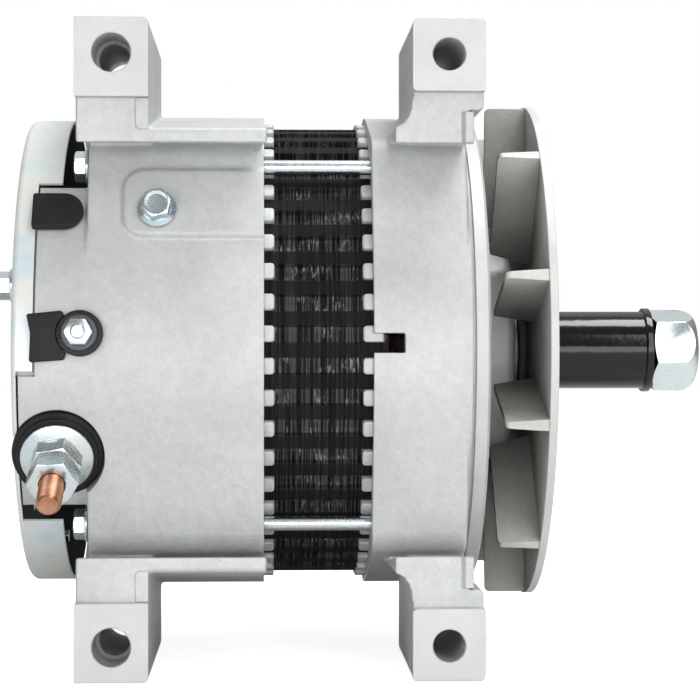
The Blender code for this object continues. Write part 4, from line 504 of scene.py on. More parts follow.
def shade(piece):
    piece.data.shade_smooth()
    piece.data.set_sharp_from_angle(angle=SHARP)
    return piece


def place_piece(piece, body, slot, *nodes):
    """Smooth shading, then the piece rides on its body and stands for its nodes."""
    shade(piece)
    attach(piece, body)
    if nodes:
        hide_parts(*nodes)
    return piece


# Materials

class Tree:
    """The nodes of a material or world, with short calls for the ones used here."""

    def __init__(self, name, world=None):
        self.material = bpy.data.materials.new(name) if world is None else world
        self.material.use_nodes = True
        self.nodes = self.material.node_tree.nodes
        self.links = self.material.node_tree.links
        self.shader = self.nodes.get("Principled BSDF")
        self.place = self.node("TexCoord", "Object")

    def feed(self, made, inputs):
        """Set or link a node's inputs, by name or number."""
        for key, value in inputs.items():
            if isinstance(value, bpy.types.NodeSocket):
                self.links.new(value, made.inputs[key])
            else:
                made.inputs[key].default_value = value

    def node(self, kind, output, inputs=None, **settings):
        """Add a node with its settings and inputs, and return one of its outputs."""
        made = self.nodes.new("ShaderNode" + kind)
        for key, value in settings.items():
            setattr(made, key, value)
        self.feed(made, inputs or {})
        return made.outputs[output]

    def noise(self, scale, detail=3.0, roughness=0.55, stretch=None):
        """Cloudy noise over the piece; stretch scales it along each axis."""
        place = self.place
        if stretch is not None:
            place = self.node("Mapping", "Vector", {"Vector": place, "Scale": stretch})
        return self.node("TexNoise", "Fac", {"Scale": scale, "Detail": detail, "Roughness": roughness,
                                             "Vector": place})

    def ramp(self, value, *stops):
        """A colour ramp; each stop is (position, gray or colour)."""
        made = self.node("ValToRGB", "Color", {"Fac": value})
        scale = made.node.color_ramp
        while len(scale.elements) < len(stops):
            scale.elements.new(0.5)
        for element, (position, colour) in zip(scale.elements, stops):
            element.position = position
            shown = colour if isinstance(colour, tuple) else (colour, colour, colour)
            element.color = (*shown, 1.0)
        return made

    def remap(self, value, low, high):
        """A value from 0 to 1, spread between low and high."""
        return self.node("MapRange", "Result", {"To Min": low, "To Max": high, "Value": value})

    def maths(self, operation, first, second=0.0):
        return self.node("Math", "Value", {0: first, 1: second}, operation=operation)

    def blend(self, factor, first, second, mode="MIX"):
        """Mix two colours."""
        first, second = [(*value, 1.0) if isinstance(value, tuple) else value for value in (first, second)]
        return self.node("Mix", 2, {"Factor": factor, 6: first, 7: second}, data_type="RGBA",
                         blend_type=mode)

    def bands(self, scale, direction, distortion):
        """Wavy parallel lines."""
        return self.node("TexWave", "Fac", {"Scale": scale, "Distortion": distortion, "Detail": 2.0,
                                            "Vector": self.place},
                         wave_type="BANDS", bands_direction=direction)

    def relief(self, *layers, edge=0.0):
        """Stack bump layers (height, depth) over a soft worn edge."""
        normal = {}
        if edge:
            normal["Normal"] = self.node("Bevel", "Normal", {"Radius": edge}, samples=SHADER_SAMPLES)
        for height, depth in layers:
            normal["Normal"] = self.node("Bump", "Normal", {"Strength": 1.0, "Distance": depth,
                                                            "Height": height, **normal})
        self.feed(self.shader, normal)

    def painted_crevice_shade(self, colour, reach, depth):
        """Paint shade into a colour: darker in corners and crevices, from ambient occlusion."""
        near = self.node("AmbientOcclusion", "AO", {"Distance": reach}, samples=SHADER_SAMPLES)
        shadow = self.ramp(near, (0.25, 1.0 - depth), (0.75, 1.0))
        return self.blend(1.0, colour, shadow, "MULTIPLY")

    def surface(self, colour, metallic, roughness, others=None):
        """Set the shader's inputs and return the material."""
        self.feed(self.shader, {"Base Color": colour, "Metallic": metallic, "Roughness": roughness,
                                **(others or {})})
        return self.material


def cast_finish(name, dark_tone, light_tone, metallic=0.42, reach=0.0012, depth=0.55):
    """Blasted casting, mottled and finely pitted, with painted shade in its corners and crevices; reach
    and depth set how far and how dark that shade is.
    """
    tree = Tree(name)
    cloud = tree.noise(22.0, 4.0)
    grain = tree.noise(1400.0, 4.0, 0.65)
    pores = tree.noise(620.0, 2.0, 0.5)
    base = tree.ramp(cloud, (0.30, dark_tone), (0.70, light_tone))
    speck = tree.ramp(grain, (0.34, 0.82), (0.56, 1.0))
    mottled = tree.ramp(tree.noise(260.0, 4.0, 0.7), (0.36, 0.90), (0.60, 1.0))
    pitted = tree.blend(0.8, tree.blend(0.5, base, speck, "MULTIPLY"), mottled, "MULTIPLY")
    dark = tree.ramp(pores, (0.22, 0.7), (0.30, 1.0))
    # Painted shade: ambient occlusion darkens the colour in corners and crevices.
    colour = tree.painted_crevice_shade(tree.blend(0.35, pitted, dark, "MULTIPLY"), reach, depth)
    tree.relief((cloud, 0.0006), (tree.noise(240.0, 3.0), 0.00025), (grain, 0.00009), edge=0.0006)
    return tree.surface(colour, metallic, tree.remap(grain, 0.5, 0.66))


def machined_finish():
    """Cut aluminium with faint tool marks and painted shade in its corners."""
    tree = Tree("cast_machined")
    cloud = tree.noise(60.0, 4.0)
    lines = tree.bands(900.0, "DIAGONAL", 1.5)
    base = tree.ramp(cloud, (0.30, (0.54, 0.555, 0.55)), (0.70, (0.62, 0.635, 0.63)))
    colour = tree.blend(0.12, base, tree.ramp(lines, (0.2, 0.75), (0.8, 1.0)), "MULTIPLY")
    tree.relief((lines, 0.00002), edge=0.0003)
    # Painted shade darkens the machined colour in corners and crevices.
    return tree.surface(tree.painted_crevice_shade(colour, 0.0015, 0.5), 0.3, tree.remap(cloud, 0.46, 0.6))


def zinc_finish(name="bright_zinc", roughness=0.24, tint=(0.70, 0.77, 0.79), metallic=1.0):
    """Zinc plate, cloudy from warm to cold, with painted shade in its corners and crevices."""
    tree = Tree(name)
    cloud = tree.noise(70.0, 5.0)
    grain = tree.noise(900.0, 3.0)
    warm = tuple(value * share for value, share in zip(tint, (1.02, 0.96, 0.88)))
    cold = tuple(value * share for value, share in zip(tint, (0.84, 0.93, 1.0)))
    # Painted shade: ambient occlusion darkens the zinc colour in corners and crevices.
    colour = tree.painted_crevice_shade(tree.ramp(cloud, (0.30, warm), (0.5, tint), (0.68, cold)), 0.0016, 0.8)
    tree.relief((tree.noise(160.0, 2.0), 0.00006), (grain, 0.00001), edge=0.00035)
    return tree.surface(colour, metallic, tree.remap(grain, roughness * 0.75, roughness * 1.4))


def gloss_finish():
    """The sleeve's black gloss."""
    tree = Tree("black_gloss")
    cloud = tree.noise(120.0, 3.0)
    colour = tree.ramp(cloud, (0.3, (0.002, 0.002, 0.002)), (0.8, (0.004, 0.004, 0.004)))
    tree.relief((tree.noise(420.0, 2.0), 0.00004), edge=0.0003)
    return tree.surface(colour, 0.0, tree.remap(cloud, 0.08, 0.16), {"Specular IOR Level": 0.42})


def dull_finish(name, shade_value, roughness, depth):
    """Black rubber or plastic with a moulded grain."""
    tree = Tree(name)
    grain = tree.noise(1100.0, 3.0)
    low = (shade_value * 0.7,) * 3
    high = (shade_value * 1.4,) * 3
    colour = tree.ramp(tree.noise(90.0, 4.0), (0.3, low), (0.75, high))
    tree.relief((grain, depth), edge=0.0003)
    return tree.surface(colour, 0.0, tree.remap(grain, roughness * 0.85, roughness * 1.15),
                        {"Specular IOR Level": 0.3})


def copper_finish():
    """The stud's tarnished copper."""
    tree = Tree("bare_copper")
    cloud = tree.noise(110.0, 5.0)
    colour = tree.ramp(cloud, (0.3, (0.42, 0.19, 0.11)), (0.55, (0.60, 0.31, 0.20)),
                       (0.8, (0.68, 0.42, 0.30)))
    tree.relief((tree.noise(1200.0, 2.0), 0.00002), edge=0.00005)
    return tree.surface(colour, 1.0, tree.remap(cloud, 0.22, 0.42))


def lamination_finish():
    """Painted sheets, worn bright here and there on the ribs."""
    tree = Tree("lamination_black")
    sheets = tree.noise(1300.0, 2.0, 0.6, (1.0, 0.012, 0.012))
    specks = tree.noise(1100.0, 3.0, 0.7, (1.5, 0.14, 0.14))
    along = tree.node("SeparateXYZ", "X", {"Vector": tree.place}).node.outputs
    clock = tree.maths("ARCTAN2", along["Z"], along["Y"])
    row = tree.maths("FRACT", tree.maths("MULTIPLY", clock, SLOT_COUNT / tau))
    valley = tree.ramp(row, (0.20, 0.12), (0.27, 1.0), (0.50, 0.7), (0.73, 1.0), (0.80, 0.12))
    cloud = tree.noise(60.0, 4.0)
    base = tree.ramp(cloud, (0.3, (0.003, 0.003, 0.003)), (0.75, (0.008, 0.008, 0.008)))
    lines = tree.maths("MULTIPLY", tree.ramp(sheets, (0.46, 0.0), (0.60, 1.0)), valley)
    lined = tree.blend(lines, base, (0.085, 0.086, 0.085))
    patches = tree.ramp(tree.noise(120.0, 3.0), (0.50, 0.0), (0.60, 1.0))
    worn = tree.maths("MULTIPLY", tree.ramp(specks, (0.53, 0.0), (0.61, 1.0)),
                      tree.maths("MULTIPLY", patches, tree.ramp(valley, (0.5, 0.0), (0.9, 1.0))))
    colour = tree.blend(worn, lined, (0.36, 0.36, 0.36))
    tree.relief((sheets, 0.00020), (tree.noise(800.0, 3.0), 0.00006))
    return tree.surface(colour, tree.maths("MULTIPLY", worn, 0.6), tree.remap(cloud, 0.55, 0.7),
                        {"Specular IOR Level": 0.1})


def winding_finish():
    """Varnished copper wire."""
    tree = Tree("copper_winding")
    wires = tree.bands(260.0, "DIAGONAL", 3.0)
    cloud = tree.noise(90.0, 4.0)
    colour = tree.ramp(cloud, (0.3, (0.012, 0.006, 0.004)), (0.75, (0.045, 0.018, 0.010)))
    tree.relief((wires, 0.0006), (cloud, 0.0004))
    return tree.surface(colour, 0.55, tree.remap(wires, 0.35, 0.55), {"Coat Weight": 0.15})


def steel_finish():
    """Plain turned steel."""
    tree = Tree("bare_steel")
    rings = tree.bands(700.0, "X", 0.8)
    cloud = tree.noise(80.0, 4.0)
    colour = tree.ramp(cloud, (0.3, (0.36, 0.36, 0.37)), (0.75, (0.52, 0.52, 0.53)))
    tree.relief((rings, 0.00003), edge=0.0003)
    return tree.surface(colour, 1.0, tree.remap(cloud, 0.26, 0.42))


# Both cast finishes carry painted crevice shade; the fan's reaches far (0.035) and deep (0.9), darkening
# the colour between its blades and by its disc.
CAST = cast_finish("cast_blasted", (0.535, 0.550, 0.540), (0.630, 0.648, 0.640))
FAN_CAST = cast_finish("cast_fan", (0.56, 0.56, 0.52), (0.70, 0.70, 0.65), 0.2, 0.035, 0.9)
MACHINED = machined_finish()
ZINC = zinc_finish()
COVER_ZINC = zinc_finish("cover_zinc", 0.36, (0.80, 0.84, 0.82), 0.25)
# The cup's inside is zinc like its outside but is coloured near black: painted shade for the dark inside
# of the cover.
COVER_INSIDE_SHADE = zinc_finish("cover_inside_shade", 0.45, (0.07, 0.08, 0.08))
EYE_ZINC = zinc_finish("dark_eye", 0.42, (0.09, 0.10, 0.105))
GLOSS = gloss_finish()
RUBBER = dull_finish("black_rubber", 0.011, 0.55, 0.00004)
PLASTIC = dull_finish("black_plastic", 0.009, 0.38, 0.00002)
COPPER = copper_finish()
LAMINATION = lamination_finish()
WINDING = winding_finish()
STEEL = steel_finish()
CARBON = dull_finish("brush_carbon", 0.05, 0.5, 0.00003)
BY_SLOT = {"cast_aluminium": CAST, "lamination_steel": LAMINATION, "copper_winding": WINDING,
           "zinc_steel": ZINC, "black_rubber": RUBBER, "black_plastic": PLASTIC,
           "bare_copper": COPPER, "bare_steel": STEEL, "black_gloss": GLOSS, "carbon": CARBON}
for node in frame["nodes"].values():
    for slot in node.material_slots:
        made_name = slot.material.name.split(".")[0]
        slot.material = BY_SLOT.get(made_name, STEEL)


# Cast frames

def lobe_tools(low, high, edge=0.0):
    """Four lobes along a frame, whose sides run out as flats onto the round case."""
    made = []
    for clock in BOLT_CLOCKS:
        y, z = on_circle(BOLT_CIRCLE, clock)
        start, end = clock - LOBE_LEAN, clock + LOBE_LEAN
        outline = [on_circle(LOBE_ROOT, start), on_circle(CASE_RADIUS, start)]
        for step in range(SMALL + 1):
            out_y, out_z = on_circle(LOBE_RADIUS, start + LOBE_LEAN * 2 * step / SMALL)
            outline.append((y + out_y, z + out_z))
        outline += [on_circle(CASE_RADIUS, end), on_circle(LOBE_ROOT, end)]
        made.append(prism("lobe", outline, low, high, SECTION, edge))
    return made


def finger_tools(root, direction):
    """The fingers that reach between the stator's ribs."""
    tip = direction * FINGER_LENGTH
    back = -direction * REACH
    outline = rounded([(back, -FINGER_HALF), (tip, -FINGER_HALF, FINGER_CORNER),
                       (tip, FINGER_HALF, FINGER_CORNER), (back, FINGER_HALF)])
    return [prism("finger", outline, VALLEY_RADIUS + CLEAR, FINGER_TOP,
                  radial(tau * (index + 0.5) / SLOT_COUNT, root), FINGER_EDGE)
            for index in range(SLOT_COUNT)]


def window_tools(inner, outer, share, low, high):
    """The ring of air windows in a frame's wall."""
    made = []
    for index in range(WINDOW_COUNT):
        middle = tau * (index + 0.5) / WINDOW_COUNT
        half = pi / WINDOW_COUNT * share
        outline = sector(inner, outer, middle - half, middle + half, SMALL // 4)
        made.append(prism("window", outline, low, high))
    return gather("windows", made, CAST)


def lobe_foot(beside, above):
    """The way from the upper lobe's side over its top to the fold."""
    y, z = on_circle(BOLT_CIRCLE, BOLT_CLOCKS[0])
    return [(y + LOBE_RADIUS, z + LOBE_RADIUS * beside), (y, z + LOBE_RADIUS * above),
            (NECK_PLANE, LEDGE_FOLD)]


def ear_side(back, foot):
    """An ear from the side, up to the plane that its pad stands on."""
    return rounded(foot + [(NECK_PLANE, EAR_TOP - SKIN), (-back, EAR_TOP - SKIN, EAR_CORNER)])


def add_pads(body, across, height, corner):
    """Crisp pads on both ears, which are machined later."""
    low, high = across
    pad = rounded([(low, EAR_TOP - height, corner[0]), (high, EAR_TOP - height, corner[1]),
                   (high, EAR_TOP, corner[2]), (low, EAR_TOP, corner[3])])
    for tool in both_sides("pad", pad, PAD_PLANE - RAW, NECK_PLANE + SINK, FACING, CAST):
        join(body, tool)


def pad_faces(across):
    """Cutters that leave the flat machined face of both pads."""
    low, high = across
    inner, outer = FACE_SPAN
    outline = [(PAD_PLANE - FACE_REACH, inner), (PAD_PLANE, inner), (PAD_PLANE, outer),
               (PAD_PLANE - FACE_REACH, outer)]
    return both_sides("face", outline, low - REACH, high + REACH, SECTION, MACHINED)


def ear_bores(across, radius, back, inside=()):
    """Bolt holes through both ears; inside lists the steps of a bore as (height, radius)."""
    made = []
    depth = -PAD_PLANE
    first = inside[0][1] if inside else radius
    profile = [(back - REACH, 0.0), (back - REACH, first), *inside, (depth - BORE_CHAMFER, radius),
               (depth + REACH, radius + BORE_CHAMFER + REACH), (depth + REACH, 0.0)]
    for height in (EAR_HOLE, -EAR_HOLE):
        place = Matrix.Translation((sum(across) / 2, 0.0, height)) @ Matrix.Rotation(pi / 2, 4, "X")
        made.append(lathe("bore", profile, place, SMALL, MACHINED))
    return made


def rear_ledges():
    """The ledges over the upper and lower lobe, each with the ear that it runs out to."""
    ear_low, ear_high = REAR_EAR_X
    reach = hypot(NECK_PLANE, LEDGE_HALF)
    tangent = atan2(-NECK_PLANE, LEDGE_HALF) - acos(CASE_RADIUS / reach)
    touch_y, touch_z = -CASE_RADIUS * sin(tangent), CASE_RADIUS * cos(tangent)
    ledge = rounded([(touch_y, touch_z - LEDGE_ROOT), *lobe_foot(*LEDGE_FOOT),
                     (NECK_PLANE, LEDGE_HALF, LEDGE_CORNER), (touch_y, touch_z)])
    ear = ear_side(REAR_EAR_BACK, [(-REAR_EAR_BACK, CASE_INNER + SINK), *lobe_foot(*EAR_FOOT)])
    return zip(both_sides("ledge", ledge, ear_low + SKIN, REAR_SEAM + RAW),
               both_sides("ear", ear, ear_low + SKIN, ear_high - SKIN))


def cut_crown(body):
    """Machine the crown's back, its step for the cover and the lower part beside the terminal."""
    steep = radians(80)
    front = CROWN_BACK + CROWN_STEP
    spigot = lathe("spigot", [(CROWN_BACK - REACH, SPIGOT_RADIUS), (front, SPIGOT_RADIUS),
                                      (front, SPIGOT_CLEAR), (CROWN_BACK - REACH, SPIGOT_CLEAR)],
                   SHAFT, ROUND, MACHINED)
    back = prism("back", box_outline((-OUTSIDE, -OUTSIDE), (0.0, OUTSIDE), SINK),
                 CROWN_BACK - REACH, CROWN_BACK, finish=MACHINED)
    upper = sector(CROWN_INNER, OUTSIDE, CROWN_STEP_CLOCK, steep)
    step = prism("step", upper, CROWN_BACK - REACH * 2, BOSS_FACE, finish=MACHINED)
    cut(body, meet(spigot, step), back)
    lower = sector(CROWN_INNER - SINK, OUTSIDE, -steep, CROWN_STEP_CLOCK)
    cut(body, prism("low_back", lower, CROWN_BACK - REACH, CROWN_BACK + CROWN_STEP_DEPTH,
                    finish=MACHINED))


def rear_frame():
    """The slip-ring-end casting, with its ledges, ears, crown and raised pad."""
    name = "rear_casting"
    body = turned(name, [(BOSS_FACE, 0.0), (BOSS_FACE, CASE_RADIUS, 0.0016),
                         (REAR_SEAM + RAW, CASE_RADIUS), (REAR_SEAM + RAW, 0.0)], SHAFT, ROUND, CAST, ARC)
    join(body, *lobe_tools(BOSS_FACE - LOBE_PROUD, REAR_SEAM + RAW))
    for ledge, ear in rear_ledges():
        join(body, ledge)
        join(body, ear)
    crown = sector(CROWN_INNER, CASE_RADIUS, *CROWN_CLOCKS)
    join(body, prism("crown", crown, CROWN_BACK - RAW, BOSS_FACE + SINK))
    pad = rounded([(-PAD_LENGTH, PAD_LOW, PAD_CORNER), (RAW, PAD_LOW), (RAW, PAD_HIGH),
                   (-PAD_LENGTH, PAD_HIGH, PAD_CORNER)])
    join(body, prism("pad", pad, CASE_INNER + SINK * 4, CASE_RADIUS + PAD_RISE,
                     radial(FLAT_CLOCK, REAR_SEAM), CAST_EDGE))
    soften(body, CAST_GRAIN, CAST_PASSES)
    add_pads(body, REAR_EAR_X, REAR_PAD_HEIGHT, (0.0003, 0.0003, 0.0020, 0.0006))
    right, left = REAR_EAR_X[1] - SKIN, REAR_EAR_X[1] - PATCH_WIDTH
    patch_top = EAR_TOP - REAR_PAD_HEIGHT - SKIN
    patch = rounded([(left, PATCH_LOW, 0.0018), (right, PATCH_LOW), (right, patch_top),
                     (left, patch_top, 0.0006)])
    for tool in both_sides("patch", patch, NECK_PLANE - PATCH_PROUD, NECK_PLANE + SINK, FACING,
                           CAST):
        join(body, tool)
    wall = BOSS_FACE + REAR_WALL
    register = REAR_SEAM - REGISTER_DEPTH
    lip = BOSS_FACE + SEAT_LIP
    cut(body, lathe("cavity", [
        (REAR_SEAM, 0.0), (REAR_SEAM + REACH, 0.0), (REAR_SEAM + REACH, OUTSIDE), (REAR_SEAM, OUTSIDE),
        (REAR_SEAM, REGISTER_RADIUS), (register, REGISTER_RADIUS), (register, CASE_INNER),
        (wall, CASE_INNER), (wall, REAR_HUB_RADIUS), (wall + REAR_HUB_LENGTH, REAR_HUB_RADIUS),
        (wall + REAR_HUB_LENGTH, REAR_BEARING_SEAT), (lip, REAR_BEARING_SEAT), (lip, REAR_SHAFT_HOLE),
        (BOSS_FACE - REACH, REAR_SHAFT_HOLE), (BOSS_FACE - REACH, 0.0)], SHAFT, ROUND, MACHINED))
    cut_crown(body)
    cut(body, *pad_faces(REAR_EAR_X))
    cut(body, *ear_bores(REAR_EAR_X, REAR_EAR_BORE, REAR_EAR_BACK, REAR_BORE_STEPS))
    cut(body, window_tools(*REAR_WINDOW, BOSS_FACE - REACH, wall + REACH))
    cut(body, rod("seat", OUTPUT_SEAT, CASE_RADIUS + LOBE_RADIUS, OUTPUT_SEAT_RADIUS, OUTPUT,
                  MACHINED))
    cut(body, prism("pocket", plug_outline(-POCKET_INSET), CASE_RADIUS - POCKET_DEPTH,
                    CASE_RADIUS + REACH, PLUG, finish=CAST))
    join(body, gather("fingers", finger_tools(REAR_SEAM, 1), CAST))
    return place_piece(body, "housing", "cast_aluminium", "rear_frame")


def front_necks(body):
    """Join the front ears, with their necks and the shelf that flares out to the left."""
    low, high = FRONT_EAR_X
    head_foot = EAR_TOP - FRONT_HEAD_HEIGHT
    head = ear_side(FRONT_EAR_BACK, [(-FRONT_EAR_BACK, head_foot), (NECK_PLANE, head_foot)])
    overhang = rounded([(low + SKIN, head_foot), (high - SKIN, head_foot, HEAD_CORNER),
                        (high - SKIN, EAR_TOP - SKIN), (low + SKIN, EAR_TOP - SKIN)])
    under = lobe_foot(*NECK_FOOT)
    neck_back = -FRONT_EAR_BACK - NECK_OVERLAP
    neck = [(neck_back, head_foot + NECK_OVERLAP), (neck_back, CASE_INNER - NECK_OVERLAP), *under,
            (NECK_PLANE, head_foot + NECK_OVERLAP)]
    shelf = [*under, (NECK_PLANE, SHELF_TOP), (under[0][0], SHELF_TOP + SHELF_SLOPE)]
    rise = FLARE * FLARE_RISE
    left = low - FLARE
    flare = [(low + SINK, LEDGE_FOLD), (left, LEDGE_FOLD), (left, SHELF_TOP, 0.0015)]
    for step in range(1, FLARE_STEPS + 1):
        turn = pi / 2 * step / FLARE_STEPS
        flare.append((low - FLARE * (1 - sin(turn)), SHELF_TOP + rise * (1 - cos(turn))))
    flare = rounded(flare + [(low + SINK, SHELF_TOP + rise)])
    for flip, way in ((list, 1.0), (flipped, -1.0)):
        near = [(x, NECK_PLANE, way * z) for x, z in flare]
        far = [(x - (FLARE_SPREAD if x < low - SKIN else 0.0), NECK_PLANE + FLARE_DEPTH,
                way * (z + (FLARE_DEPTH * FLARE_SLOPE if z < SHELF_TOP - NECK_OVERLAP else 0.0)))
               for x, z in flare]
        join(body, prism("neck", flip(neck), low + SKIN, low + FRONT_NECK_WIDTH),
             prism("shelf", flip(shelf), low, FRONT_SEAM + FRONT_LOBE_LENGTH),
             loft("flare", near, far))
        ear = prism("ear", flip(head), low + SKIN, high - SKIN)
        meet(ear, prism("overhang", flip(overhang), PAD_PLANE - RAW, 0.0, FACING))
        join(body, ear)


def front_frame():
    """The drive-end casting, with its bearing hub, machined rim, ears and notch."""
    name = "front_casting"
    dish = FRONT_RIM - WALL_DISH
    body = turned(name, [
        (FRONT_SEAM - RAW, 0.0), (FRONT_SEAM - RAW, CASE_RADIUS), (FRONT_RIM, CASE_RADIUS),
        (dish, HUB_RADIUS + HUB_FILLET, HUB_FILLET), (dish, HUB_RADIUS, HUB_FILLET),
        (HUB_FRONT, HUB_RADIUS, HUB_CORNER), (HUB_FRONT, 0.0)], SHAFT, ROUND, CAST, ARC)
    join(body, *lobe_tools(FRONT_SEAM - RAW, FRONT_SEAM + FRONT_LOBE_LENGTH, CAST_EDGE))
    front_necks(body)
    soften(body, CAST_GRAIN, CAST_PASSES)
    add_pads(body, FRONT_EAR_X, FRONT_PAD_HEIGHT, (0.0018, 0.0004, 0.0018, 0.0018))
    neck_end = FRONT_EAR_X[0] + FRONT_NECK_WIDTH
    rib_front = NECK_PLANE - RIB_PROUD
    rib = rounded([(neck_end - RIB_WIDTH, NECK_PLANE + SINK), (neck_end - SINK, rib_front),
                   (neck_end + RIB_STANDOUT, rib_front, 0.0004),
                   (neck_end + RIB_STANDOUT, NECK_PLANE + PAD_PROUD)])
    for ends in ((RIB_LOW, RIB_HIGH), (-RIB_HIGH, -RIB_LOW)):
        join(body, prism("rib", rib, *ends, Matrix(), finish=CAST))
    wall = FRONT_RIM - FRONT_WALL
    register = FRONT_SEAM + REGISTER_DEPTH
    lip = HUB_FRONT - SEAT_LIP
    cut(body, lathe("cavity", [
        (FRONT_SEAM, 0.0), (FRONT_SEAM - REACH, 0.0), (FRONT_SEAM - REACH, OUTSIDE),
        (FRONT_SEAM, OUTSIDE), (FRONT_SEAM, REGISTER_RADIUS), (register, REGISTER_RADIUS),
        (register, CASE_INNER), (wall, CASE_INNER), (wall, FRONT_BEARING_SEAT),
        (lip, FRONT_BEARING_SEAT), (lip, SEAL_BORE), (HUB_FRONT + REACH, SEAL_BORE),
        (HUB_FRONT + REACH, 0.0)], SHAFT, ROUND, MACHINED))
    groove = FRONT_RIM - RIM_LENGTH
    rim_inner = RIM_RADIUS - RIM_CHAMFER
    cut(body, lathe("rim", [
        (groove - GROOVE_WIDTH, OUTSIDE), (groove - GROOVE_WIDTH, GROOVE_FLOOR), (groove, GROOVE_FLOOR),
        (groove, RIM_RADIUS), (FRONT_RIM - RIM_CHAMFER, RIM_RADIUS), (FRONT_RIM, rim_inner),
        (FRONT_RIM + REACH, rim_inner), (FRONT_RIM + REACH, OUTSIDE)], SHAFT, ROUND, MACHINED))
    cut(body, *pad_faces(FRONT_EAR_X))
    cut(body, *ear_bores(FRONT_EAR_X, FRONT_EAR_BORE, FRONT_EAR_BACK))
    cut(body, window_tools(*FRONT_WINDOW, wall - REACH, FRONT_RIM + REACH))
    notch = box_outline((-REACH, -NOTCH_HEIGHT / 2), (NOTCH_LENGTH, NOTCH_HEIGHT / 2), NOTCH_CORNER)
    cut(body, prism("notch", notch, CASE_INNER - REACH, CASE_RADIUS + REACH,
                    radial(NOTCH_CLOCK, FRONT_SEAM), finish=CAST))
    join(body, gather("fingers", finger_tools(FRONT_SEAM, -1), CAST))
    return place_piece(body, "housing", "cast_aluminium", "front_frame")


# Stator

def stator():
    """The ribbed stack of laminations, with its bore and slots."""
    core_low, core_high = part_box("stator_core")
    low, high = core_low.x - REACH, core_high.x + REACH
    half = STATOR_RIB / 2 / STATOR_RADIUS
    root = half * RIB_ROOT
    outline = []
    for index in range(SLOT_COUNT):
        middle = tau * index / SLOT_COUNT
        outline.append(on_circle(VALLEY_RADIUS, middle - root))
        outline.append(on_circle(STATOR_RADIUS - RIB_EDGE, middle - half))
        outline += [on_circle(STATOR_RADIUS, middle + half * share) for share in RIB_TOP]
        outline.append(on_circle(STATOR_RADIUS - RIB_EDGE, middle + half))
        outline.append(on_circle(VALLEY_RADIUS, middle + root))
        outline.append(on_circle(VALLEY_RADIUS, middle + pi / SLOT_COUNT))
    body = prism("stator_ribs", outline, core_low.x, core_high.x, finish=LAMINATION)
    cut(body, rod("stator_bore", low, high, STATOR_BORE, SHAFT, LAMINATION, ROUND))
    inner, outer = STATOR_SLOT
    slot = [(-SLOT_HALF, inner), (SLOT_HALF, inner), (SLOT_HALF, outer), (-SLOT_HALF, outer)]
    slots = [prism("stator_slot", slot, low, high,
                   Matrix.Rotation(tau * index / SLOT_COUNT, 4, "X") @ SECTION)
             for index in range(SLOT_COUNT)]
    cut(body, gather("stator_slots", slots, LAMINATION))
    return place_piece(body, "housing", "lamination_steel", "stator_core")


# Hexagons, threads and washers

def hex_outline(flats, turn):
    """The radius of a hexagon's corners, and its outline."""
    corner = flats / 2 / cos(pi / 6)
    return corner, [(corner * cos(turn + tau * k / 6), corner * sin(turn + tau * k / 6))
                    for k in range(6)]


def hexagon(name, flats, low, high, place, turn=0.0, ends=(True, True)):
    """A zinc hexagon whose corners are turned off at one or both ends."""
    corner, outline = hex_outline(flats, turn)
    body = prism(name, outline, low, high, place, 0.0, ZINC)
    inset = flats / 2 * HEX_FACE
    outside, wide = corner * HEX_CLEAR, corner * HEX_WIDE
    drop = (outside - inset) * HEX_SLOPE
    first = [(low, inset), (low + drop, outside)] if ends[0] else [(low, wide)]
    last = [(high - drop, outside), (high, inset)] if ends[1] else [(high, wide)]
    envelope = [(low, 0.0)] + first + last + [(high, 0.0)]
    return meet(body, lathe("turned", envelope, place, FINE, ZINC))


def threaded(name, radius, pitch, low, high, place, finish, tip=0.0008):
    """A rod with a real helical thread and a chamfered end."""
    form = bmesh.new()
    rows = int((high - low) / pitch * THREAD_ROWS)
    depth = pitch * THREAD_DEPTH
    rings = []
    for row in range(rows + 1):
        height = low + (high - low) * row / rows
        ring = []
        for k in range(SMALL):
            angle = tau * k / SMALL
            phase = (height / pitch - k / SMALL) % 1.0
            ridge = abs(phase - 0.5) * 2
            here = radius - depth * min(1.0, max(0.0, ridge * THREAD_FLANK - THREAD_CREST))
            here = min(here, radius - depth - tip + (high - height) + depth * THREAD_TIP)
            ring.append(form.verts.new(place @ Vector((here * cos(angle), here * sin(angle),
                                                       height))))
        rings.append(ring)
    for first, second in zip(rings, rings[1:]):
        for k in range(SMALL):
            after = (k + 1) % SMALL
            form.faces.new((first[k], first[after], second[after], second[k]))
    form.faces.new(rings[0][::-1])
    form.faces.new(rings[-1])
    return wrap(name, form, finish)


def ring(name, inner, outer, low, high, place, edge, finish, steps=SMALL):
    """A washer or collar with rounded rims."""
    return turned(name, [(low, inner, edge / 2), (low, outer, edge), (high, outer, edge),
                         (high, inner, edge / 2)], place, steps, finish, closed=True)


def plug_outline(grow):
    """The rubber plug's D, grown all round."""
    half = PLUG_HALF + grow
    centre = PLUG_LENGTH - PLUG_HALF
    nose = [(centre + half * cos(angle), half * sin(angle))
            for angle in [pi * (step / 24 - 0.5) for step in range(25)]]
    return rounded(nose + [(-grow, half, PLUG_CORNER), (-grow, -half, PLUG_CORNER)])


def through_bolts():
    """The four long bolts, with their washers."""
    washer_front = BOSS_FACE - LOBE_PROUD - CLEAR
    head_front = washer_front - WASHER
    for index, clock in enumerate(BOLT_CLOCKS):
        place = shaft_at(0.0, *on_circle(BOLT_CIRCLE, clock))
        name = f"long_bolt_{index + 1}"
        body = rod(name, head_front - SINK, FRONT_SEAM + BOLT_END, BOLT_RADIUS, place, ZINC, SMALL)
        washer = ring("washer", BOLT_RADIUS - SINK, BOLT_WASHER_RADIUS, head_front, washer_front,
                      place, RIM, ZINC)
        head = hexagon("head", BOLT_FLATS, head_front - BOLT_HEAD, head_front + SINK / 4, place,
                       ends=(True, False))
        join(body, washer, head)
        place_piece(body, "housing", "zinc_steel", f"through_bolt_{index + 1}")


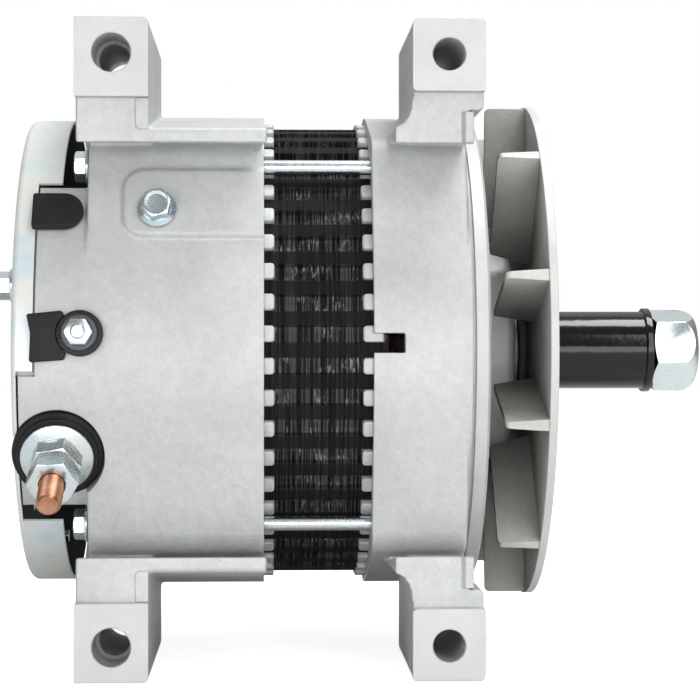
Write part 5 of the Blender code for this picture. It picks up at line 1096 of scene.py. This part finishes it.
def rear_cover():
    """The zinc cup, its skirt cut back round the crown and the terminal, its inside near black as painted
    shade.
    """
    outer, sheet, corner = 0.1008, 0.0012, 0.0030
    edge = COVER_BACK + 0.0185
    inner = outer - COVER_CUT
    body = turned("cover_cup", [(COVER_BACK, 0.0), (COVER_BACK, outer, corner), (edge, outer, 0.0004),
                                (edge, 0.0)], SHAFT, ROUND, COVER_ZINC, 8)
    # The inside's cut faces take the near-black finish: painted shade inside the cup.
    cut(body, turned("cover_inside_shade", [
        (COVER_BACK + sheet, 0.0), (COVER_BACK + sheet, outer - sheet, corner - sheet),
        (edge + REACH, outer - sheet), (edge + REACH, 0.0)], SHAFT, ROUND, COVER_INSIDE_SHADE, 8))
    gap = sector(inner, outer + REACH, -CROWN_GAP, CROWN_GAP)
    cut(body, prism("cover_crown_gap", gap, COVER_BACK + CROWN_GAP_FLOOR, edge + REACH, finish=COVER_ZINC))
    terminal = sector(inner, outer + REACH * 1.5, *TERMINAL_GAP)
    cut(body, prism("cover_terminal_gap", terminal, COVER_BACK + TERMINAL_GAP_FLOOR, edge + REACH / 2,
                    finish=COVER_ZINC))
    slot = box_outline((-COVER_SLOT_HALF, COVER_SLOT[0]), (COVER_SLOT_HALF, COVER_SLOT[1]),
                       COVER_SLOT_CORNER)
    slots = [prism("cover_slot", slot, COVER_BACK - REACH, COVER_BACK + REACH,
                   Matrix.Rotation(tau * (index + 0.5) / COVER_SLOTS, 4, "X") @ SECTION)
             for index in range(COVER_SLOTS)]
    cut(body, gather("cover_slots", slots, COVER_ZINC))
    cut(body, rod("cover_relief", OUTPUT_SEAT - COVER_CUT, CASE_RADIUS + REACH, COVER_RELIEF, OUTPUT,
                  COVER_ZINC))
    return place_piece(body, "housing", "zinc_steel", "rear_cover")


def cover_screws():
    """The three flanged screws that hold the cover."""
    radius, flange, flats, shank = 0.0015, 0.0070, 0.0100, 0.0028
    flange_front = COVER_BACK - CLEAR
    head_front = flange_front - WASHER
    for index in range(3):
        low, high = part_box(f"cover_screw_{index + 1}")
        place = shaft_at(0.0, (low.y + high.y) / 2, (low.z + high.z) / 2)
        name = f"cover_bolt_{index + 1}"
        body = ring(name, radius, flange, head_front, flange_front, place, RIM, ZINC)
        head = hexagon("head", flats, low.x, head_front + RIM, place, ends=(True, False))
        join(body, head, rod("shank", head_front, high.x, shank, place, ZINC, SMALL))
        place_piece(body, "housing", "zinc_steel", f"cover_screw_{index + 1}")


def output_terminal():
    """The thick terminal: insulator, flange nut, lock nut and copper stud."""
    hole, foot, shoulder, flange_radius = 0.0053, 0.0184, 0.0166, 0.0147
    low = OUTPUT_SEAT + CLEAR
    high = low + 0.0050
    step = high - 0.0016
    body = turned("terminal_insulator", [
        (low, hole), (low, foot, 0.0006), (step, foot, 0.0010), (step, shoulder, 0.0005),
        (high, shoulder, 0.0006), (high, hole, 0.0003)], OUTPUT, FINE, RUBBER, closed=True)
    place_piece(body, "housing", "black_rubber", "output_insulator")
    flange = high + CLEAR
    top = flange + 0.0125
    body = turned("terminal_flange_nut", [
        (flange, hole), (flange, flange_radius, 0.0004), (flange + 0.0014, flange_radius, 0.0006),
        (flange + 0.0030, 0.0100, 0.0010), (flange + 0.0030, hole)], OUTPUT, FINE, ZINC, closed=True)
    nut = hexagon("terminal_flange_hex", 0.0185, flange + 0.0008, top, OUTPUT, radians(10.0),
                  (False, True))
    cut(nut, rod("terminal_hole", flange - REACH, top + REACH, hole, OUTPUT, ZINC, SMALL))
    join(body, nut)
    place_piece(body, "housing", "zinc_steel", "output_flange_nut")
    low = top + CLEAR
    high = low + 0.0115
    body = hexagon("terminal_lock_nut", 0.0180, low, high, OUTPUT, radians(2.0))
    cut(body, rod("terminal_lock_hole", low - REACH, high + REACH, hole, OUTPUT, ZINC, SMALL))
    place_piece(body, "housing", "zinc_steel", "output_lock_nut")
    stud = threaded("terminal_stud", 0.0050, 0.00150, CROWN_INNER - SINK, STUD_END, OUTPUT, COPPER)
    join(stud, ring("terminal_stud_head", 0.003, 0.0090, 0.0855, 0.0888, OUTPUT, 0.0004, COPPER))
    place_piece(stud, "housing", "bare_copper", "output_stud")


def relay_terminal():
    """The small terminal: insulator, lead strap with its eye, nut and stud."""
    low = CASE_RADIUS + CLEAR
    high = low + 0.0034
    place_piece(ring("relay_base", 0.0033, 0.0092, low, high, RELAY, RIM, PLASTIC, FINE),
                "housing", "black_plastic", "relay_insulator")
    eye_low = high + CLEAR
    eye_high = eye_low + 0.0025
    left, right = -0.0211, -0.0050
    pad = rounded([(left, 0.0076, 0.0008), (left + 0.0142, 0.0090, 0.0012), (right, 0.0030),
                   (right, -0.0056), (left + 0.0150, -0.0106, 0.0012),
                   (left + 0.0012, -0.0116, 0.0010), (left + 0.0016, 0.0, 0.0080)])
    body = prism("relay_strap", pad, low, low + 0.0030, RELAY, 0.0006, RUBBER)
    tongue = prism("relay_tongue", box_outline((left + 0.012, -0.0022), (right, 0.0022), 0.0008),
                   low + 0.0015, eye_low + 0.0008, RELAY, 0.0002, RUBBER)
    eye = turned("relay_eye", [(eye_low, 0.0), (eye_low, 0.0073, RIM), (eye_high, 0.0073, RIM),
                               (eye_high, 0.0)], RELAY, FINE, EYE_ZINC)
    join(body, tongue, eye)
    cut(body, rod("relay_relief", low - REACH, eye_low, 0.0095, RELAY, RUBBER))
    place_piece(body, "housing", "black_rubber", "lead_strap")
    nut_low = eye_high + CLEAR
    nut_high = nut_low + 0.0050
    place_piece(hexagon("relay_hex", 0.0100, nut_low, nut_high, RELAY), "housing", "zinc_steel",
                "relay_nut")
    place_piece(threaded("relay_screw", 0.0030, 0.0008, CASE_RADIUS - 0.009, nut_high + 0.0012, RELAY,
                         ZINC, 0.0004), "housing", "zinc_steel", "relay_stud")


def rubber_plug():
    """The D-shaped plug in the crown."""
    low = CASE_RADIUS + CLEAR
    body = prism("moulded_plug", plug_outline(0.0), low, low + PLUG_PROUD, PLUG, 0.0006, RUBBER)
    place_piece(body, "housing", "black_rubber", "rubber_plug")


def pad_bolt():
    """The flange bolt on the raised pad, with a dimple in its head."""
    flange, neck = 0.0078, 0.0058
    seat = CASE_RADIUS + PAD_RISE + CLEAR
    top = seat + 0.0018
    body = turned("pad_flange_bolt", [
        (seat, 0.0), (seat, flange, 0.0005), (seat + 0.0010, flange, 0.0005),
        (top + 0.0008, neck, 0.0008), (top + 0.0008, 0.0)], PAD_BOLT, FINE, ZINC)
    join(body, hexagon("pad_bolt_head", 0.0110, seat + 0.0008, top + 0.0060, PAD_BOLT,
                       radians(15.0), (False, True)))
    cut(body, turned("pad_bolt_dimple", [
        (top + 0.0053, 0.0), (top + 0.0053, 0.0041, 0.0004), (top + 0.0062, 0.0048),
        (top + 0.0062, 0.0)], PAD_BOLT, SMALL, ZINC))
    place_piece(body, "housing", "zinc_steel", "rectifier_bolt")


# Rotating parts outside

def fan():
    """The cast disc, with straight blades on its rear side."""
    thick, hub, boss = 0.0034, 0.024, 0.0027
    face, radius = FAN_HIGH.x, FAN_HIGH.z
    disc_back = face - thick
    free_edge = FAN_LOW.x
    body = turned("fan_casting", [
        (face, 0.0), (face, radius, 0.0007), (disc_back, radius, 0.0007), (disc_back, hub, 0.002),
        (disc_back - boss, hub - SINK, 0.001), (disc_back - boss, 0.0)], SHAFT, ROUND, FAN_CAST, ARC)
    tip = radius - 0.0008
    outline = rounded([(free_edge, 0.0555, 0.001), (free_edge, tip, 0.0022),
                       (disc_back + SINK, tip), (disc_back + SINK, 0.050)])
    for index in range(BLADE_COUNT):
        place = radial(tau * (index + 0.5) / BLADE_COUNT, 0.0)
        sides = []
        for side in (-1, 1):
            sides.append([])
            for x, r in outline:
                share = (x - free_edge) / (disc_back - free_edge)
                half = (BLADE_THIN + BLADE_TAPER * share) / 2
                sides[-1].append(place @ Vector((x, side * half, r)))
        join(body, loft("fan_blade", *sides))
    cut(body, lathe("fan_rim", [(disc_back + SKIN, radius - SKIN), (face - SKIN, radius - SKIN),
                                (face - SKIN, radius + REACH), (disc_back + SKIN, radius + REACH)],
                    SHAFT, ROUND, MACHINED))
    cut(body, rod("fan_bore", free_edge, face + REACH, SHAFT_HOLE, SHAFT, MACHINED))
    place_piece(body, "rotor", "cast_aluminium", "fan")


def clamped_parts():
    """The glossy sleeve and the domed nut, which clamp the fan on the shaft."""
    thin, thick = 0.0171, 0.0186
    back, front = SLEEVE_LOW.x, SLEEVE_HIGH.x
    rim_back = front - 0.0032
    body = turned("sleeve_gloss", [
        (back, SHAFT_HOLE, 0.0003), (back, thin, 0.0006), (rim_back, thin, 0.0003),
        (rim_back, thick, 0.0005), (front, thick, 0.0005), (front, SHAFT_HOLE, 0.0003)],
        SHAFT, ROUND, GLOSS, 5, True)
    place_piece(body, "rotor", "black_gloss", "shaft_sleeve")
    low, high = NUT_LOW.x, NUT_HIGH.x
    corner, outline = hex_outline(NUT_FLATS, NUT_TURN)
    body = prism("hex_nut", outline, low, high, SHAFT, 0.0, ZINC)
    wide = corner * 1.01
    dome = [(low, 0.0), (low, NUT_FLATS / 2 * 0.97), (low + 0.0016, wide), (high - NUT_CROWN, wide)]
    for step in range(1, NUT_STEPS + 1):
        angle = pi / 2 * step / NUT_STEPS
        dome.append((high - NUT_CROWN * (1 - sin(angle)), NUT_TIP + (wide - NUT_TIP) * cos(angle)))
    dome.append((high, 0.0))
    meet(body, lathe("hex_nut_dome", dome, SHAFT, ROUND, ZINC))
    cut(body, rod("hex_nut_hole", low - REACH, high + REACH, SHAFT_HOLE, SHAFT, ZINC))
    place_piece(body, "rotor", "zinc_steel", "shaft_nut")


for build in (rear_frame, front_frame, stator, through_bolts, rear_cover, cover_screws, output_terminal,
              relay_terminal, rubber_plug, pad_bolt, fan, clamped_parts):
    build()


# Floor, light and camera

FLOOR_X = 4.0
FLOOR_Y = (-2.0, 6.0)
FLOOR_GLOW = 0.80
WHITE = (1.0, 1.0, 1.0, 1.0)
SOFT_STRENGTH = 0.42
SENSOR = 36.0
FOCAL = 113.1
CAMERA_PLACE = (-0.1926, -0.978, 0.0)
CAMERA_TURN = radians(2.24)
NEAR_CLIP = 0.01
# name, place, target, size, power
LIGHTS = (("key", (-0.20, -1.35, -0.02), (-0.15, 0.0, 0.0), (2.0, 0.5), 12.0),
          ("right", (0.21, -1.15, 0.62), (-0.02, 0.0, 0.0), (0.4, 0.9), 3.6),
          ("band", (0.15, -0.08, 1.00), (-0.02, 0.0, 0.0), (0.45, 0.5), 8.5),
          ("top", (-0.25, 0.1, 1.00), (-0.15, 0.0, 0.0), (1.6, 1.0), 1.5),
          ("back", (-0.15, 0.9, 0.80), (-0.15, 0.0, 0.0), (2.0, 0.8), 2.0),
          ("left", (-1.0, -1.05, 0.05), (-0.20, 0.0, 0.0), (0.7, 0.6), 1.2))


def linked(name, data, place, turn):
    """A light or camera in the scene."""
    made = bpy.data.objects.new(name, data)
    bpy.context.scene.collection.objects.link(made)
    made.location = place
    made.rotation_euler = turn
    return made


def floor():
    """A pale floor that reads as white from the camera."""
    form = bmesh.new()
    low, high = FLOOR_Y
    corners = [(-FLOOR_X, low), (FLOOR_X, low), (FLOOR_X, high), (-FLOOR_X, high)]
    form.faces.new([form.verts.new((x, y, CAD_LOW.z)) for x, y in corners])
    tree = Tree("pale_floor")
    tree.surface(tree.ramp(tree.noise(1.5, 2.0), (0.3, 0.80), (0.7, 0.83)), 0.0, 0.7)
    ray = tree.node("LightPath", "Is Camera Ray")
    glow = tree.node("Emission", "Emission", {"Color": WHITE,
                                              "Strength": tree.maths("MULTIPLY", ray, FLOOR_GLOW)})
    both = tree.node("AddShader", "Shader", {0: tree.shader.outputs["BSDF"], 1: glow})
    tree.feed(tree.nodes["Material Output"], {"Surface": both})
    wrap("floor", form, tree.material)


def area_light(name, place, target, size, power):
    """A rectangular light that faces its target."""
    lamp = bpy.data.lights.new(name, "AREA")
    lamp.shape = "RECTANGLE"
    lamp.size, lamp.size_y = size
    lamp.energy = power
    aim = Vector(target) - Vector(place)
    linked(name, lamp, place, aim.to_track_quat("-Z", "Y").to_euler())


def world():
    """Soft gray light all round, and plain white for the camera."""
    made = bpy.data.worlds.new("studio")
    bpy.context.scene.world = made
    tree = Tree("studio", made)
    rise = tree.node("SeparateXYZ", "Z", {"Vector": tree.place.node.outputs["Generated"]})
    tone = tree.node("MapRange", "Result", {"From Min": -0.6, "From Max": 0.9, "To Min": 0.30,
                                            "To Max": 0.85, "Value": rise})
    soft = tree.nodes["Background"]
    tree.feed(soft, {"Color": tone, "Strength": SOFT_STRENGTH})
    clear = tree.node("Background", "Background", {"Color": WHITE, "Strength": 1.0})
    ray = tree.node("LightPath", "Is Camera Ray")
    seen = tree.node("MixShader", "Shader", {"Fac": ray, 1: soft.outputs["Background"], 2: clear})
    tree.feed(tree.nodes["World Output"], {"Surface": seen})


def camera():
    """The photo's view."""
    lens = bpy.data.cameras.new("camera")
    lens.sensor_width = SENSOR
    lens.lens = FOCAL
    lens.clip_start = NEAR_CLIP
    bpy.context.scene.camera = linked("camera", lens, CAMERA_PLACE, (pi / 2, 0.0, -CAMERA_TURN))


floor()
for light in LIGHTS:
    area_light(*light)
world()
camera()
bpy.context.scene.view_settings.view_transform = "Standard"
